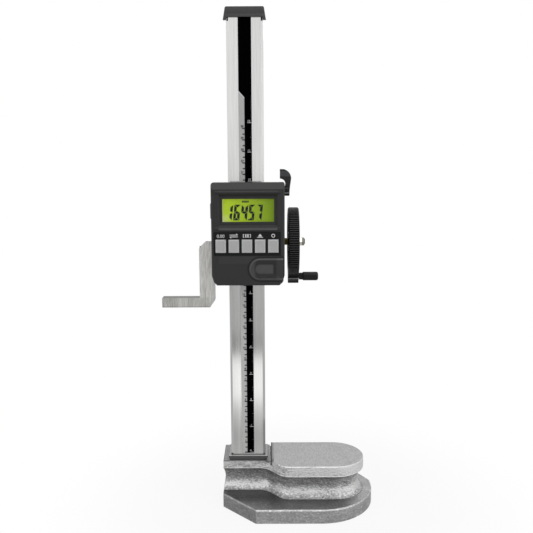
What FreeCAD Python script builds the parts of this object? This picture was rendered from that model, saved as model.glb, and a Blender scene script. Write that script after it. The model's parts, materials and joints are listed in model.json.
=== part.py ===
import FreeCAD, Part
import math
import os
import re

import Sketcher
from FreeCAD import Placement, Rotation, Vector

# Digital height gauge. Millimetres, Z up, X to the right as the display is read.
# The origin lies on the underside of the base, under the middle of the column.

SIZES = {
    # base casting
    "base_left": -23.5,
    "base_right": 117.5,
    "base_front": -52.0,
    "base_back": 24.0,
    "base_corner": 31.0,
    "base_nose_radius": 51.0,
    "base_cut_x": 10.0,
    "base_cut_y": 17.0,
    "flange_height": 13.0,
    "flange_bevel": 1.2,
    "block_front": -14.0,
    "block_height": 29.6,
    "pad_height": 2.3,
    "pad_front": -33.0,
    "pad_back": 23.0,
    "pad_left": 21.4,
    "pad_margin": 8.5,
    "pad_bevel": 0.7,
    "rim_height": 7.6,
    "cove_depth": 5.5,
    "side_cove": 1.7,
    "bend_start": 10.0,
    "bend_radius": 14.0,
    "bend_angle": 50.0,
    "pad_slot_width": 1.2,
    "pad_slot_depth": 1.6,
    "relief_depth": 1.6,
    "relief_rim": 12.0,
    "relief_nose": 17.5,
    "relief_gap": 14.0,
    "bolt_spacing": 17.0,
    "bolt_head_radius": 5.0,
    "bolt_head_height": 6.0,
    "bolt_radius": 3.0,
    "bolt_length": 45.0,
    "bolt_seat": 9.0,
    # column
    "column_width": 32.0,
    "column_depth": 22.0,
    "column_chamfer": 2.0,
    "column_socket": 5.6,
    "column_length": 408.5,
    "socket_gap": 0.05,
    "strip_left": -5.8,
    "strip_right": 5.6,
    "strip_foot": 1.6,
    "strip_head": 0.6,
    "strip_thickness": 0.6,
    "strip_sunk": 0.2,
    "strip_gap": 0.1,
    "collar_rise": 2.5,
    "collar_plate": 2.3,
    "collar_neck": 1.2,
    "collar_flange": 2.3,
    "collar_gap": 0.1,
    # rack and pinion
    "gear_module": 1.0,
    "pinion_teeth": 16.0,
    "rack_width": 7.8,
    "rack_sunk": 1.5,
    "rack_back": 5.0,
    "gear_backlash": 0.16,
    "gear_side": 0.7,
    "gear_clear": 0.9,
    "rack_foot": 10.6,
    "rack_head": 38.0,
    "rack_land": 11.0,
    "pinion_width": 7.0,
    # cap
    "cap_lid": 6.3,
    "cap_wall": 2.45,
    "cap_face": 2.2,
    "cap_lap": 5.0,
    "cap_leg": 2.85,
    "cap_leg_deep": 3.7,
    "cap_taper": 9.0,
    "cap_notch_drop": 2.6,
    "cap_bevel": 1.0,
    "cap_screw_sunk": 2.4,
    # slider frame
    "slider_height": 213.0,
    "frame_foot": 3.0,
    "frame_height": 84.0,
    "frame_wall": 8.0,
    "frame_side": 10.5,
    "frame_web": 5.0,
    "frame_rear": 7.0,
    "frame_bevel": 1.5,
    "boss_cover": 1.6,
    "boss_wall": 2.5,
    "boss_inset": 7.0,
    "gib_space": 3.5,
    "slide_gap": 0.08,
    "gib_depth": 18.0,
    "gib_screw_radius": 2.0,
    "clamp_drop": 5.4,
    "clamp_screw_radius": 2.6,
    "reader_half": 9.0,
    "reader_rise": 24.0,
    "reader_height": 44.0,
    # axle and wheel
    "axle_rise": 33.3,
    "axle_radius": 3.25,
    "bush_radius": 5.0,
    "bush_flange_radius": 6.2,
    "bush_flange": 1.6,
    "wheel_gap": 4.0,
    "wheel_width": 9.9,
    "wheel_radius": 32.0,
    "wheel_hollow": 3.2,
    "wheel_web": 4.0,
    "wheel_rim": 5.2,
    "wheel_bevel": 1.0,
    "wheel_hub_radius": 8.5,
    "wheel_ribs": 96.0,
    "wheel_rib_depth": 0.7,
    "lug_proud": 1.1,
    "lug_radius": 6.6,
    "grip_radius": 4.1,
    "grip_gap": 0.5,
    "grip_neck": 4.2,
    "grip_length": 18.2,
    "pin_radius": 2.0,
    # jaw
    "jaw_gap": 5.7,
    "jaw_upright": 13.8,
    "jaw_reach": 34.9,
    "jaw_drop": 25.0,
    "jaw_head": 35.5,
    "jaw_bar": 9.0,
    "jaw_thick": 9.0,
    "jaw_chamfer": 5.6,
    "tongue_rise": 13.0,
    "tongue_height": 20.0,
    "tongue_deep": 4.0,
    # display housing
    "case_wing": 6.0,
    "case_lap": 4.0,
    "case_height": 90.0,
    "case_depth": 12.0,
    "case_back": 2.0,
    "case_wall": 2.0,
    "case_face": 4.0,
    "case_low_cut_x": 4.6,
    "case_low_cut_y": 8.6,
    "case_crown": 5.8,
    "case_crown_depth": 3.6,
    "case_edge": 1.1,
    "case_corner": 1.6,
    "bezel_side_left": 7.6,
    "bezel_side_right": 7.0,
    "bezel_drop": 11.2,
    "bezel_height": 25.8,
    "bezel_depth": 2.0,
    "glass_side": 2.2,
    "glass_edge": 2.9,
    "ridge_side_left": 4.0,
    "ridge_side_right": 5.0,
    "ridge_height": 1.0,
    "ridge_half": 1.3,
    "upper_ridge_gap": 2.8,
    "lower_ridge_gap": 2.7,
    "panel_side_left": 2.0,
    "panel_side_right": 3.4,
    "panel_height": 21.2,
    "panel_depth": 0.9,
    "panel_sheet": 0.6,
    # keys
    "key_shift": 0.2,
    "key_margin": 1.875,
    "key_rib": 2.4,
    "key_foot": 2.8,
    "key_height": 11.5,
    "key_proud": 1.0,
    "key_gap": 0.2,
    "key_collar": 0.8,
    "key_collar_thick": 0.8,
    "key_play": 0.1,
    # battery cover
    "cover_length": 32.3,
    "cover_foot": 3.7,
    "cover_height": 21.7,
    "cover_sunk": 2.6,
    "cover_raise": 0.9,
    "cover_rim": 1.5,
    "dish_rim": 2.8,
    "dish_slope": 4.0,
    "dish_depth": 1.2,
    "dish_run": 8.6,
    "cover_gap": 0.2,
    "cell_inset": 13.9,
    "cell_radius": 10.0,
    "cell_thickness": 3.2,
    # data port
    "port_drop": 17.6,
    "port_height": 14.0,
    "port_inset": 3.4,
    "port_depth": 6.2,
    "port_bulge": 0.8,
    # clamp lever
    "lever_gap": 4.3,
    "lever_hub": 4.7,
    "lever_hub_radius": 4.7,
    "lever_half": 3.6,
}

# Levels and places that follow from the sizes.
DERIVED = {
    "block_top": "flange_height + block_height",
    "pad_top": "block_top + pad_height",
    "rim_bottom": "block_top - rim_height",
    "relief_left": "0.5 * column_width + relief_gap",
    "relief_right": "base_right - relief_nose",
    "relief_front": "base_front + relief_rim",
    "relief_back": "base_back - relief_rim",
    "column_bottom": "block_top - column_socket",
    "column_top": "column_bottom + column_length",
    "collar_step": "block_top + collar_rise",
    "collar_top": "collar_step + collar_plate",
    "strip_bottom": "collar_top + strip_foot",
    "strip_top": "column_top - strip_head",
    "tooth_count": "round(pinion_teeth)",
    "rack_addendum": "0.9 * gear_module",
    "gear_dedendum": "1.25 * gear_module",
    "rack_pitch_line": "0.5 * column_depth - rack_sunk",
    "rack_floor": "rack_pitch_line - rack_back",
    "rack_low": "collar_top + rack_foot",
    "rack_high": "column_top - rack_head",
    "pinion_tip": "0.5 * gear_module * tooth_count + rack_addendum",
    "gear_pocket_width": "pinion_width + 2 * gear_side",
    "gear_pocket_radius": "pinion_tip + gear_clear",
    "axle_deep": "rack_pitch_line + 0.5 * gear_module * tooth_count",
    "cap_top": "column_top + cap_lid",
    "cap_width": "column_width + 2 * cap_wall",
    "cap_depth": "column_depth + 2 * cap_face",
    "cap_skirt": "column_top - cap_lap",
    "cap_notch_width": "cap_width - 2 * cap_leg",
    "cap_notch_top": "column_top - cap_notch_drop",
    "gib_wall": "0.5 * column_width + gib_space",
    "frame_left": "-0.5 * column_width - frame_wall",
    "frame_right": "gib_wall + frame_side",
    "frame_front": "-0.5 * column_depth - frame_web",
    "frame_back": "0.5 * column_depth + frame_rear",
    "frame_bottom": "slider_height + frame_foot",
    "frame_top": "frame_bottom + frame_height",
    "axle_height": "slider_height + axle_rise",
    "boss_back": "axle_deep + pinion_tip + boss_cover",
    "boss_bottom": "axle_height - gear_pocket_radius - boss_wall",
    "boss_top": "axle_height + gear_pocket_radius + boss_wall",
    "boss_left": "frame_left + boss_inset",
    "clamp_height": "frame_top - clamp_drop",
    "reader_left": "-1 * reader_half",
    "reader_right": "reader_half",
    "reader_bottom": "frame_bottom + reader_rise",
    "reader_top": "reader_bottom + reader_height",
    "case_left": "frame_left - case_wing",
    "case_right": "frame_right + case_lap",
    "case_bottom": "slider_height",
    "case_top": "slider_height + case_height",
    "case_joint": "frame_front - case_back",
    "case_front": "case_joint - case_depth",
    "bezel_left": "case_left + bezel_side_left",
    "bezel_right": "case_right - bezel_side_right",
    "bezel_top": "case_top - bezel_drop",
    "bezel_bottom": "bezel_top - bezel_height",
    "glass_left": "bezel_left + glass_side",
    "glass_right": "bezel_right - glass_side",
    "glass_bottom": "bezel_bottom + glass_edge",
    "glass_top": "bezel_top - glass_edge",
    "ridge_left": "case_left + ridge_side_left",
    "ridge_right": "case_right - ridge_side_right",
    "upper_ridge": "bezel_top + upper_ridge_gap",
    "lower_ridge": "bezel_bottom - lower_ridge_gap",
    "panel_left": "case_left + panel_side_left",
    "panel_right": "case_right - panel_side_right",
    "panel_top": "lower_ridge - lower_ridge_gap",
    "panel_bottom": "panel_top - panel_height",
    "key_pitch": "(panel_right - panel_left - 2 * key_margin + key_rib) / 5",
    "key_width": "key_pitch - key_rib",
    "key_middle": "0.5 * (panel_left + panel_right) - key_shift",
    "key_bottom": "panel_bottom + key_foot",
    "key_top": "key_bottom + key_height",
    "key_front": "case_front - key_proud",
    "key_flange_front": "case_front + case_face + key_play",
    "key_flange_back": "key_flange_front + key_collar_thick",
    "cover_left": "case_right - cover_length",
    "cover_bottom": "case_bottom + cover_foot",
    "cover_top": "cover_bottom + cover_height",
    "cell_across": "cover_left + cell_inset",
    "port_top": "case_top - port_drop",
    "port_bottom": "port_top - port_height",
    "port_front": "case_front + port_inset",
    "port_back": "port_front + port_depth",
    "wheel_near": "case_right + wheel_gap",
    "wheel_far": "wheel_near + wheel_width",
    "wheel_web_near": "wheel_near + wheel_hollow",
    "wheel_web_far": "wheel_web_near + wheel_web",
    "rib_count": "round(wheel_ribs)",
    "lug_drop": "wheel_radius + lug_proud",
    "grip_near": "wheel_far + grip_gap",
    "grip_waist": "grip_near + grip_neck",
    "grip_far": "grip_near + grip_length",
    "jaw_right": "frame_left - jaw_gap",
    "jaw_inner": "jaw_right - jaw_upright",
    "jaw_left": "jaw_inner - jaw_reach",
    "jaw_bottom": "slider_height - jaw_drop",
    "jaw_top": "slider_height + jaw_head",
    "tongue_bottom": "slider_height + tongue_rise",
    "tongue_top": "tongue_bottom + tongue_height",
    "tongue_end": "frame_left + tongue_deep",
    "lever_hub_near": "frame_right + lever_gap",
    "lever_hub_far": "lever_hub_near + lever_hub",
}

doc = FreeCAD.newDocument("height_gauge")
sheet = doc.addObject("Spreadsheet::Sheet", "Sizes")
CELLS = {**SIZES, **{word: "=" + text for word, text in DERIVED.items()}}
for row, (word, number) in enumerate(CELLS.items(), start=1):
    sheet.set("A%d" % row, word)
    sheet.set("B%d" % row, str(number))
    sheet.setAlias("B%d" % row, word)
doc.recompute()

WORD = re.compile(r"[a-z][a-z0-9_]*")
parts = []


def bound(text):
    """Expression in which each size name points at its cell."""
    return WORD.sub(lambda hit: "Sizes." + hit.group(0) if hit.group(0) in CELLS else hit.group(0), str(text))


def size(text):
    """Number that an expression of size names gives."""
    return float(sheet.evalExpression(bound(text)))


def spot(across, up):
    """Point of a sketch from two expressions."""
    return Vector(size(across), size(up), 0)


def loop(corners, arcs=None):
    """Closed outline through the corners; arcs gives a side its radius and its turn, 1 left or -1 right."""
    arcs = arcs or {}

    def draw(sketch):
        first = sketch.GeometryCount
        points = [spot(*corner) for corner in corners]
        ends = []
        for side, start in enumerate(points):
            finish = points[(side + 1) % len(points)]
            if side in arcs:
                radius, turn = size(arcs[side][0]), arcs[side][1]
                chord = finish - start
                middle = (start + finish) * 0.5
                rise = math.sqrt(max(radius * radius - chord.Length * chord.Length / 4.0, 0.0))
                normal = Vector(-chord.y, chord.x, 0).normalize() * turn
                centre = middle + normal * rise
                low, high = (start, finish) if turn > 0 else (finish, start)
                circle = Part.Circle(centre, Vector(0, 0, 1), radius)
                sweep = Part.ArcOfCircle(circle, circle.parameter(low), circle.parameter(high))
                sketch.addGeometry(sweep)
                ends.append((1, 2) if turn > 0 else (2, 1))
            else:
                sketch.addGeometry(Part.LineSegment(start, finish))
                ends.append((1, 2))
        count = len(points)
        for side, corner in enumerate(corners):
            before = (side - 1) % count
            sketch.addConstraint(
                Sketcher.Constraint("Coincident", first + before, ends[before][1], first + side, ends[side][0]))
            for kind, text in (("DistanceX", corner[0]), ("DistanceY", corner[1])):
                index = sketch.addConstraint(
                    Sketcher.Constraint(kind, -1, 1, first + side, ends[side][0], size(text)))
                sketch.setExpression("Constraints[%d]" % index, bound(text))
        for side in arcs:
            index = sketch.addConstraint(Sketcher.Constraint("Radius", first + side, size(arcs[side][0])))
            sketch.setExpression("Constraints[%d]" % index, bound(arcs[side][0]))

    return draw


def window(left, right, low, high):
    """Rectangle between four expressions."""
    return loop([(left, low), (right, low), (right, high), (left, high)])


def ring(across, up, radius):
    """Circle about a point, from three expressions."""

    def draw(sketch):
        number = sketch.addGeometry(Part.Circle(spot(across, up), Vector(0, 0, 1), size(radius)))
        for kind, text in (("DistanceX", across), ("DistanceY", up)):
            index = sketch.addConstraint(Sketcher.Constraint(kind, -1, 1, number, 3, size(text)))
            sketch.setExpression("Constraints[%d]" % index, bound(text))
        index = sketch.addConstraint(Sketcher.Constraint("Radius", number, size(radius)))
        sketch.setExpression("Constraints[%d]" % index, bound(radius))

    return draw


class Piece:
    """One solid built up feature by feature; every depth runs towards the plus side of its axis."""

    def __init__(self, label):
        self.body = doc.addObject("PartDesign::Body", label)
        self.body.Label = label
        self.steps = 0
        parts.append(self.body)

    def settle(self, feature):
        """Feature worked out; one that fails stops the build."""
        doc.recompute()
        if "Invalid" in feature.State or feature.Shape.isNull():
            raise RuntimeError("failed feature: " + feature.Name)
        return feature

    def name(self, kind):
        self.steps += 1
        return "%s_%s_%d" % (self.body.Name, kind, self.steps)

    def volume(self):
        return self.body.Shape.Volume

    def sketch(self, plane, level, loops):
        """Sketch parallel to a main plane, at a level along that plane's axis."""
        sketch = self.body.newObject("Sketcher::SketchObject", self.name("outline"))
        for feature in self.body.Origin.OriginFeatures:
            if feature.Role == plane + "_Plane":
                sketch.AttachmentSupport = [(feature, "")]
        sketch.MapMode = "FlatFace"
        along = "-1 * (%s)" % level if plane == "XZ" else str(level)
        sketch.setExpression(".AttachmentOffset.Base.z", bound(along))
        for draw in loops:
            draw(sketch)
        return sketch

    def grow(self, kind, label, plane, level, depth, loops):
        sketch = self.sketch(plane, level, loops)
        feature = self.body.newObject(kind, self.name(label))
        feature.Profile = sketch
        feature.setExpression("Length", bound(depth))
        sketch.Visibility = False
        return feature

    def add(self, plane, level, depth, *loops):
        """Material from the level, as deep as given."""
        feature = self.grow("PartDesign::Pad", "pad", plane, level, depth, loops)
        feature.Reversed = plane == "XZ"
        return self.settle(feature)

    def cut(self, plane, level, depth, *loops):
        """Hollow from the level, as deep as given."""
        before = self.volume()
        feature = self.grow("PartDesign::Pocket", "pocket", plane, level, depth, loops)
        feature.Reversed = plane != "XZ"
        self.settle(feature)
        if self.volume() > before - 1e-6:
            raise RuntimeError("no material removed by " + feature.Name)
        return feature

    def turn(self, loops, label="turned"):
        """Body turned about its own X axis."""
        sketch = self.sketch("XZ", "0", loops)
        feature = self.body.newObject("PartDesign::Revolution", self.name(label))
        feature.Profile = sketch
        feature.ReferenceAxis = (sketch, ["H_Axis"])
        feature.Angle = 360
        return self.settle(feature)

    def edge(self, kind, amount, test):
        """Chamfer or fillet on the edges that pass the test."""
        base = self.body.Tip
        names = ["Edge%d" % (n + 1) for n, edge in enumerate(base.Shape.Edges) if test(edge)]
        if not names:
            raise RuntimeError("no edges for " + self.body.Name)
        feature = self.body.newObject("PartDesign::" + kind, self.name(kind.lower()))
        feature.Base = (base, names)
        feature.setExpression("Radius" if kind == "Fillet" else "Size", bound(amount))
        return self.settle(feature)

    def place(self, across, deep, up):
        """Position of the whole piece, from three expressions."""
        for letter, text in zip("xyz", (across, deep, up)):
            self.body.setExpression(".Placement.Base." + letter, bound(text))


def at_height(*heights):
    """Test for edges that lie wholly at one of the heights."""
    levels = [size(text) for text in heights]

    def test(edge):
        box = edge.BoundBox
        return any(abs(box.ZMin - z) < 1e-4 and abs(box.ZMax - z) < 1e-4 for z in levels)

    return test


def upright(edge):
    """Test for edges along Z."""
    box = edge.BoundBox
    return box.XLength < 1e-4 and box.YLength < 1e-4


def solid(kind, label, spots=None, turn=None, **sizes):
    """Simple solid whose sizes and place follow the cells."""
    shape = doc.addObject("Part::" + kind, label)
    shape.Label = label
    for word, text in sizes.items():
        shape.setExpression(word, bound(text))
    if turn is not None:
        shape.Placement = Placement(Vector(0, 0, 0), turn)
    for letter, text in zip("xyz", spots or ()):
        shape.setExpression(".Placement.Base." + letter, bound(text))
    return shape


DIRECTIONS = {
    "+x": Vector(1, 0, 0),
    "-x": Vector(-1, 0, 0),
    "+y": Vector(0, 1, 0),
    "-y": Vector(0, -1, 0),
    "+z": Vector(0, 0, 1),
    "-z": Vector(0, 0, -1),
}


def along(seat, way, distance):
    """Seat moved along a way by a distance, as three expressions."""
    step = DIRECTIONS[way]
    return [
        "%s + %d * (%s)" % (text, round(part), distance) if abs(part) > 0.5 else text
        for text, part in zip(seat, (step.x, step.y, step.z))]


def screws(label, way, seats, head_radius, head, radius, length, drive, sunk=False):
    """Set of like screws; each seat is the underside of a head, and the way points to the tip."""
    turn = Rotation(Vector(0, 0, 1), DIRECTIONS[way])
    pieces = []
    for number, seat in enumerate(seats, start=1):
        stem = "%s_%d" % (label, number)
        back = along(seat, way, "-1 * (%s)" % head)
        shank = solid("Cylinder", stem + "_shank", seat, turn, Radius=radius, Height=length)
        if sunk:
            top = solid("Cone", stem + "_head", back, turn, Radius1=head_radius, Radius2=radius, Height=head)
        else:
            top = solid("Cylinder", stem + "_head", back, turn, Radius=head_radius, Height=head)
        whole = doc.addObject("Part::Fuse", stem + "_blank")
        whole.Base = top
        whole.Tool = shank
        socket = solid("Prism", stem + "_socket", along(seat, way, "-1.01 * (%s)" % head), turn,
                       Circumradius=drive, Height="0.55 * (%s)" % head)
        socket.Polygon = 6
        screw = doc.addObject("Part::Cut", stem)
        screw.Base = whole
        screw.Tool = socket
        pieces.append(screw)
    group = doc.addObject("Part::Compound", label)
    group.Label = label
    group.Links = pieces
    parts.append(group)
    return group


def plain_part(label, shape, where=None):
    """Solid made directly from curves, for toothed shapes."""
    feature = doc.addObject("Part::Feature", label)
    feature.Label = label
    feature.Shape = shape
    feature.Placement = Placement(where or Vector(0, 0, 0), Rotation())
    parts.append(feature)
    return feature


# Front outline of the block and pad: a straight stretch, an S bend, then the pad's straight edge.
DROP = "(bend_radius * (1 - cos(bend_angle * 1 deg)))"
REACH = "(bend_radius * sin(bend_angle * 1 deg))"
SLANT_DROP = "(block_front - pad_front - 2 * %s)" % DROP
SLANT_RUN = "(%s / tan(bend_angle * 1 deg))" % SLANT_DROP
PAD_RADIUS = "((pad_back - pad_front) / 2)"
PAD_X = "(base_right - pad_margin - %s)" % PAD_RADIUS
PAD_Y = "((pad_back + pad_front) / 2)"
BEND = [
    ("bend_start", "block_front"),
    ("bend_start + " + REACH, "block_front - " + DROP),
    ("bend_start + %s + %s" % (REACH, SLANT_RUN), "pad_front + " + DROP),
    ("bend_start + 2 * %s + %s" % (REACH, SLANT_RUN), "pad_front"),
    (PAD_X, "pad_front"),
    ("%s + %s" % (PAD_X, PAD_RADIUS), PAD_Y),
    (PAD_X, "pad_back"),
]
BEND_ARCS = {0: ("bend_radius", -1), 2: ("bend_radius", 1), 4: (PAD_RADIUS, 1), 5: (PAD_RADIUS, 1)}


def base_casting():
    """Iron foot: bevelled flange, waisted block with a finger cove, raised rest pad."""
    piece = Piece("base_casting")
    piece.add("XY", "0", "flange_height", loop(
        [
            ("base_left", "base_back"),
            ("base_left", "base_front + base_corner"),
            ("base_left + base_corner", "base_front"),
            ("base_right - base_nose_radius", "base_front"),
            ("base_right", "base_front + base_nose_radius"),
            ("base_right", "base_back - base_cut_y"),
            ("base_right - base_cut_x", "base_back"),
        ],
        {3: ("base_nose_radius", 1)}))
    piece.edge("Chamfer", "flange_bevel", lambda edge: at_height("flange_height")(edge)
               and edge.CenterOfMass.y < size("base_back") - 0.5
               and edge.CenterOfMass.x > size("base_left") + 0.5)
    shifted = {side + 1: arc for side, arc in BEND_ARCS.items()}
    piece.add("XY", "flange_height - 1", "block_top - flange_height + 1", loop(
        [("base_left", "block_front")] + BEND + [("base_left", "pad_back")], shifted))
    run = "(pad_left - bend_start - %s)" % REACH
    pad_corner = ("pad_left", "block_front - %s - %s * tan(bend_angle * 1 deg)" % (DROP, run))
    shifted = {side - 1: arc for side, arc in BEND_ARCS.items() if side > 1}
    piece.add("XY", "block_top", "pad_top - block_top", loop(
        [pad_corner] + BEND[2:] + [("pad_left", "pad_back")], shifted))
    piece.cut("XY", "block_top - pad_slot_depth", "pad_slot_depth + 5",
              window("pad_left - pad_slot_width", "pad_left", "pad_front", "pad_back + 1"))
    cove = piece.sketch("YZ", "base_left - 5", [loop(
        [
            ("block_front - 0.6", "flange_height"),
            ("block_front", "flange_height"),
            ("block_front", "rim_bottom"),
            ("block_front - 0.6", "rim_bottom"),
        ],
        {1: ("(cove_depth ^ 2 + ((rim_bottom - flange_height) / 2) ^ 2) / (2 * cove_depth)", 1)})])
    track = piece.sketch("XY", "0", [])
    corners = [("base_left - 5", "block_front")] + BEND + [("base_left - 5", "pad_back")]
    path_points(track, corners, {side + 1: arc for side, arc in BEND_ARCS.items()})
    before = piece.volume()
    pipe = piece.body.newObject("PartDesign::SubtractivePipe", piece.name("cove"))
    pipe.Profile = cove
    pipe.Spine = (track, ["Edge%d" % (n + 1) for n in range(len(corners) - 1)])
    pipe.Transition = "Transformed"
    doc.recompute()
    if piece.volume() > before - 1000:
        raise RuntimeError("the cove removed no material")
    piece.cut("XZ", "block_front - cove_depth - 1", "pad_back - block_front + cove_depth + 2", loop(
        [
            ("base_left - 1", "flange_height"),
            ("base_left", "flange_height"),
            ("base_left", "rim_bottom"),
            ("base_left - 1", "rim_bottom"),
        ],
        {1: ("(side_cove ^ 2 + ((rim_bottom - flange_height) / 2) ^ 2) / (2 * side_cove)", 1)}))
    piece.cut("XY", "column_bottom", "block_top - column_bottom + 5", window(
        "-0.5 * column_width - socket_gap", "0.5 * column_width + socket_gap",
        "-0.5 * column_depth - socket_gap", "0.5 * column_depth + socket_gap"))
    piece.cut("XY", "-1", "relief_depth + 1", window(
        "relief_left", "relief_right", "relief_front", "relief_back"))
    for side in ("-0.5", "0.5"):
        across = side + " * bolt_spacing"
        piece.cut("XY", "-1", "bolt_seat + 1", ring(across, "0", "bolt_head_radius + 0.5"))
        piece.cut("XY", "-1", "column_bottom + 2", ring(across, "0", "bolt_radius + 0.3"))
    piece.edge("Chamfer", "pad_bevel", lambda edge: at_height("pad_top", "block_top")(edge)
               and rim_edge(edge))


def rim_edge(edge):
    """Test for the outer edges of the block and pad tops, away from the socket and the slot."""
    middle = edge.CenterOfMass
    on_slot = abs(middle.x - size("pad_left")) < 1.5
    in_socket = abs(middle.x) < size("0.5 * column_width + 1") and abs(middle.y) < size("0.5 * column_depth + 1")
    return not on_slot and not in_socket


def path_points(sketch, corners, arcs):
    """Open path through the corners, straight or in arcs."""
    points = [spot(*corner) for corner in corners]
    for side in range(len(points) - 1):
        start, finish = points[side], points[side + 1]
        ends = (1, 2)
        if side in arcs:
            radius, turn = size(arcs[side][0]), arcs[side][1]
            chord = finish - start
            rise = math.sqrt(max(radius * radius - chord.Length * chord.Length / 4.0, 0.0))
            centre = (start + finish) * 0.5 + Vector(-chord.y, chord.x, 0).normalize() * turn * rise
            low, high = (start, finish) if turn > 0 else (finish, start)
            circle = Part.Circle(centre, Vector(0, 0, 1), radius)
            sketch.addGeometry(Part.ArcOfCircle(circle, circle.parameter(low), circle.parameter(high)))
            ends = (1, 2) if turn > 0 else (2, 1)
        else:
            sketch.addGeometry(Part.LineSegment(start, finish))
        for end, corner in zip(ends, (corners[side], corners[side + 1])):
            for kind, text in (("DistanceX", corner[0]), ("DistanceY", corner[1])):
                index = sketch.addConstraint(Sketcher.Constraint(kind, -1, 1, side, end, size(text)))
                sketch.setExpression("Constraints[%d]" % index, bound(text))
        if side in arcs:
            index = sketch.addConstraint(Sketcher.Constraint("Radius", side, size(arcs[side][0])))
            sketch.setExpression("Constraints[%d]" % index, bound(arcs[side][0]))
    doc.recompute()


def column():
    """Ground beam with a slot for the strip in front and one for the rack behind."""
    piece = Piece("column")
    half, deep = "0.5 * column_width", "0.5 * column_depth"
    piece.add("XY", "column_bottom", "column_top - column_bottom", loop([
        ("-1 * (%s)" % half, "-1 * (%s) + column_chamfer" % deep),
        ("-1 * (%s) + column_chamfer" % half, "-1 * (%s)" % deep),
        ("%s - column_chamfer" % half, "-1 * (%s)" % deep),
        (half, "-1 * (%s) + column_chamfer" % deep),
        (half, "%s - column_chamfer" % deep),
        ("%s - column_chamfer" % half, deep),
        ("-1 * (%s) + column_chamfer" % half, deep),
        ("-1 * (%s)" % half, "%s - column_chamfer" % deep),
    ]))
    piece.cut("XY", "strip_bottom - strip_gap", "column_top - strip_bottom + 1", window(
        "strip_left - strip_gap", "strip_right + strip_gap",
        "-1 * (%s) - 1" % deep, "-1 * (%s) + strip_thickness + strip_sunk" % deep))
    piece.cut("XY", "rack_low - 0.1", "rack_high - rack_low + 0.2", window(
        "-0.5 * rack_width - 0.1", "0.5 * rack_width + 0.1", "rack_floor", deep + " + 1"))
    for side in ("-0.5", "0.5"):
        piece.cut("XY", "column_bottom - 1", "bolt_seat + bolt_length - column_bottom + 3",
                  ring(side + " * bolt_spacing", "0", "bolt_radius + 0.05"))
    for level in ("rack_low + 0.5 * rack_land", "rack_high - 0.5 * rack_land"):
        piece.cut("XZ", "rack_floor - 8", "9", ring("0", level, "1.55"))
    piece.cut("XY", "column_top - 12", "13", ring("0", "0", "2.05"))


def foot_collar():
    """Stepped collar that closes the joint of column and base."""
    piece = Piece("foot_collar")
    for level, depth, wall in (
            ("block_top", "collar_step - block_top", "collar_neck"),
            ("collar_step", "collar_top - collar_step", "collar_flange")):
        piece.add("XY", level, depth, window(
            "-0.5 * column_width - " + wall, "0.5 * column_width + " + wall,
            "-0.5 * column_depth - " + wall, "0.5 * column_depth + " + wall))
    piece.cut("XY", "block_top - 1", "collar_top - block_top + 2", window(
        "-0.5 * column_width - collar_gap", "0.5 * column_width + collar_gap",
        "-0.5 * column_depth - collar_gap", "0.5 * column_depth + collar_gap"))
    piece.edge("Chamfer", "0.4", lambda edge: at_height("collar_top")(edge)
               and (abs(edge.CenterOfMass.x) > size("0.5 * column_width + 1")
                    or abs(edge.CenterOfMass.y) > size("0.5 * column_depth + 1")))


def column_cap():
    """Moulded cap: a tapered lid on the column's end, with a notched skirt and two legs in front."""
    piece = Piece("column_cap")
    block = piece.add("XY", "cap_skirt", "cap_top - cap_skirt", window(
        "-0.5 * cap_width", "0.5 * cap_width", "-0.5 * cap_depth", "0.5 * cap_depth"))
    block.setExpression("TaperAngle", bound("-1 * cap_taper"))
    piece.settle(block)
    piece.edge("Fillet", "cap_bevel", lambda edge: edge.BoundBox.ZLength > 1)
    piece.cut("XY", "cap_skirt - 1", "column_top - cap_skirt + 1", window(
        "-0.5 * column_width - socket_gap", "0.5 * column_width + socket_gap",
        "-0.5 * column_depth - socket_gap", "0.5 * column_depth + socket_gap"))
    corner = "1.6"
    piece.cut("XZ", "-0.5 * cap_depth - 1", "cap_depth + 2", loop(
        [
            ("-0.5 * cap_notch_width", "cap_skirt - 1"),
            ("0.5 * cap_notch_width", "cap_skirt - 1"),
            ("0.5 * cap_notch_width", "cap_notch_top - " + corner),
            ("0.5 * cap_notch_width - " + corner, "cap_notch_top"),
            ("-0.5 * cap_notch_width + " + corner, "cap_notch_top"),
            ("-0.5 * cap_notch_width", "cap_notch_top - " + corner),
        ],
        {2: (corner, 1), 4: (corner, 1)}))
    piece.cut("YZ", "-0.5 * cap_width - 1", "cap_width + 2", window(
        "-0.5 * cap_depth + cap_leg_deep", "0.5 * cap_depth + 1", "cap_skirt - 1", "column_top"))
    piece.edge("Chamfer", "0.8", at_height("cap_top"))
    piece.cut("XY", "column_top - 1", "cap_top - column_top + 2", ring("0", "0", "2.1"))
    piece.cut("XY", "cap_top - cap_screw_sunk", "cap_screw_sunk + 1", ring("0", "0", "3.9"))


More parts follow.
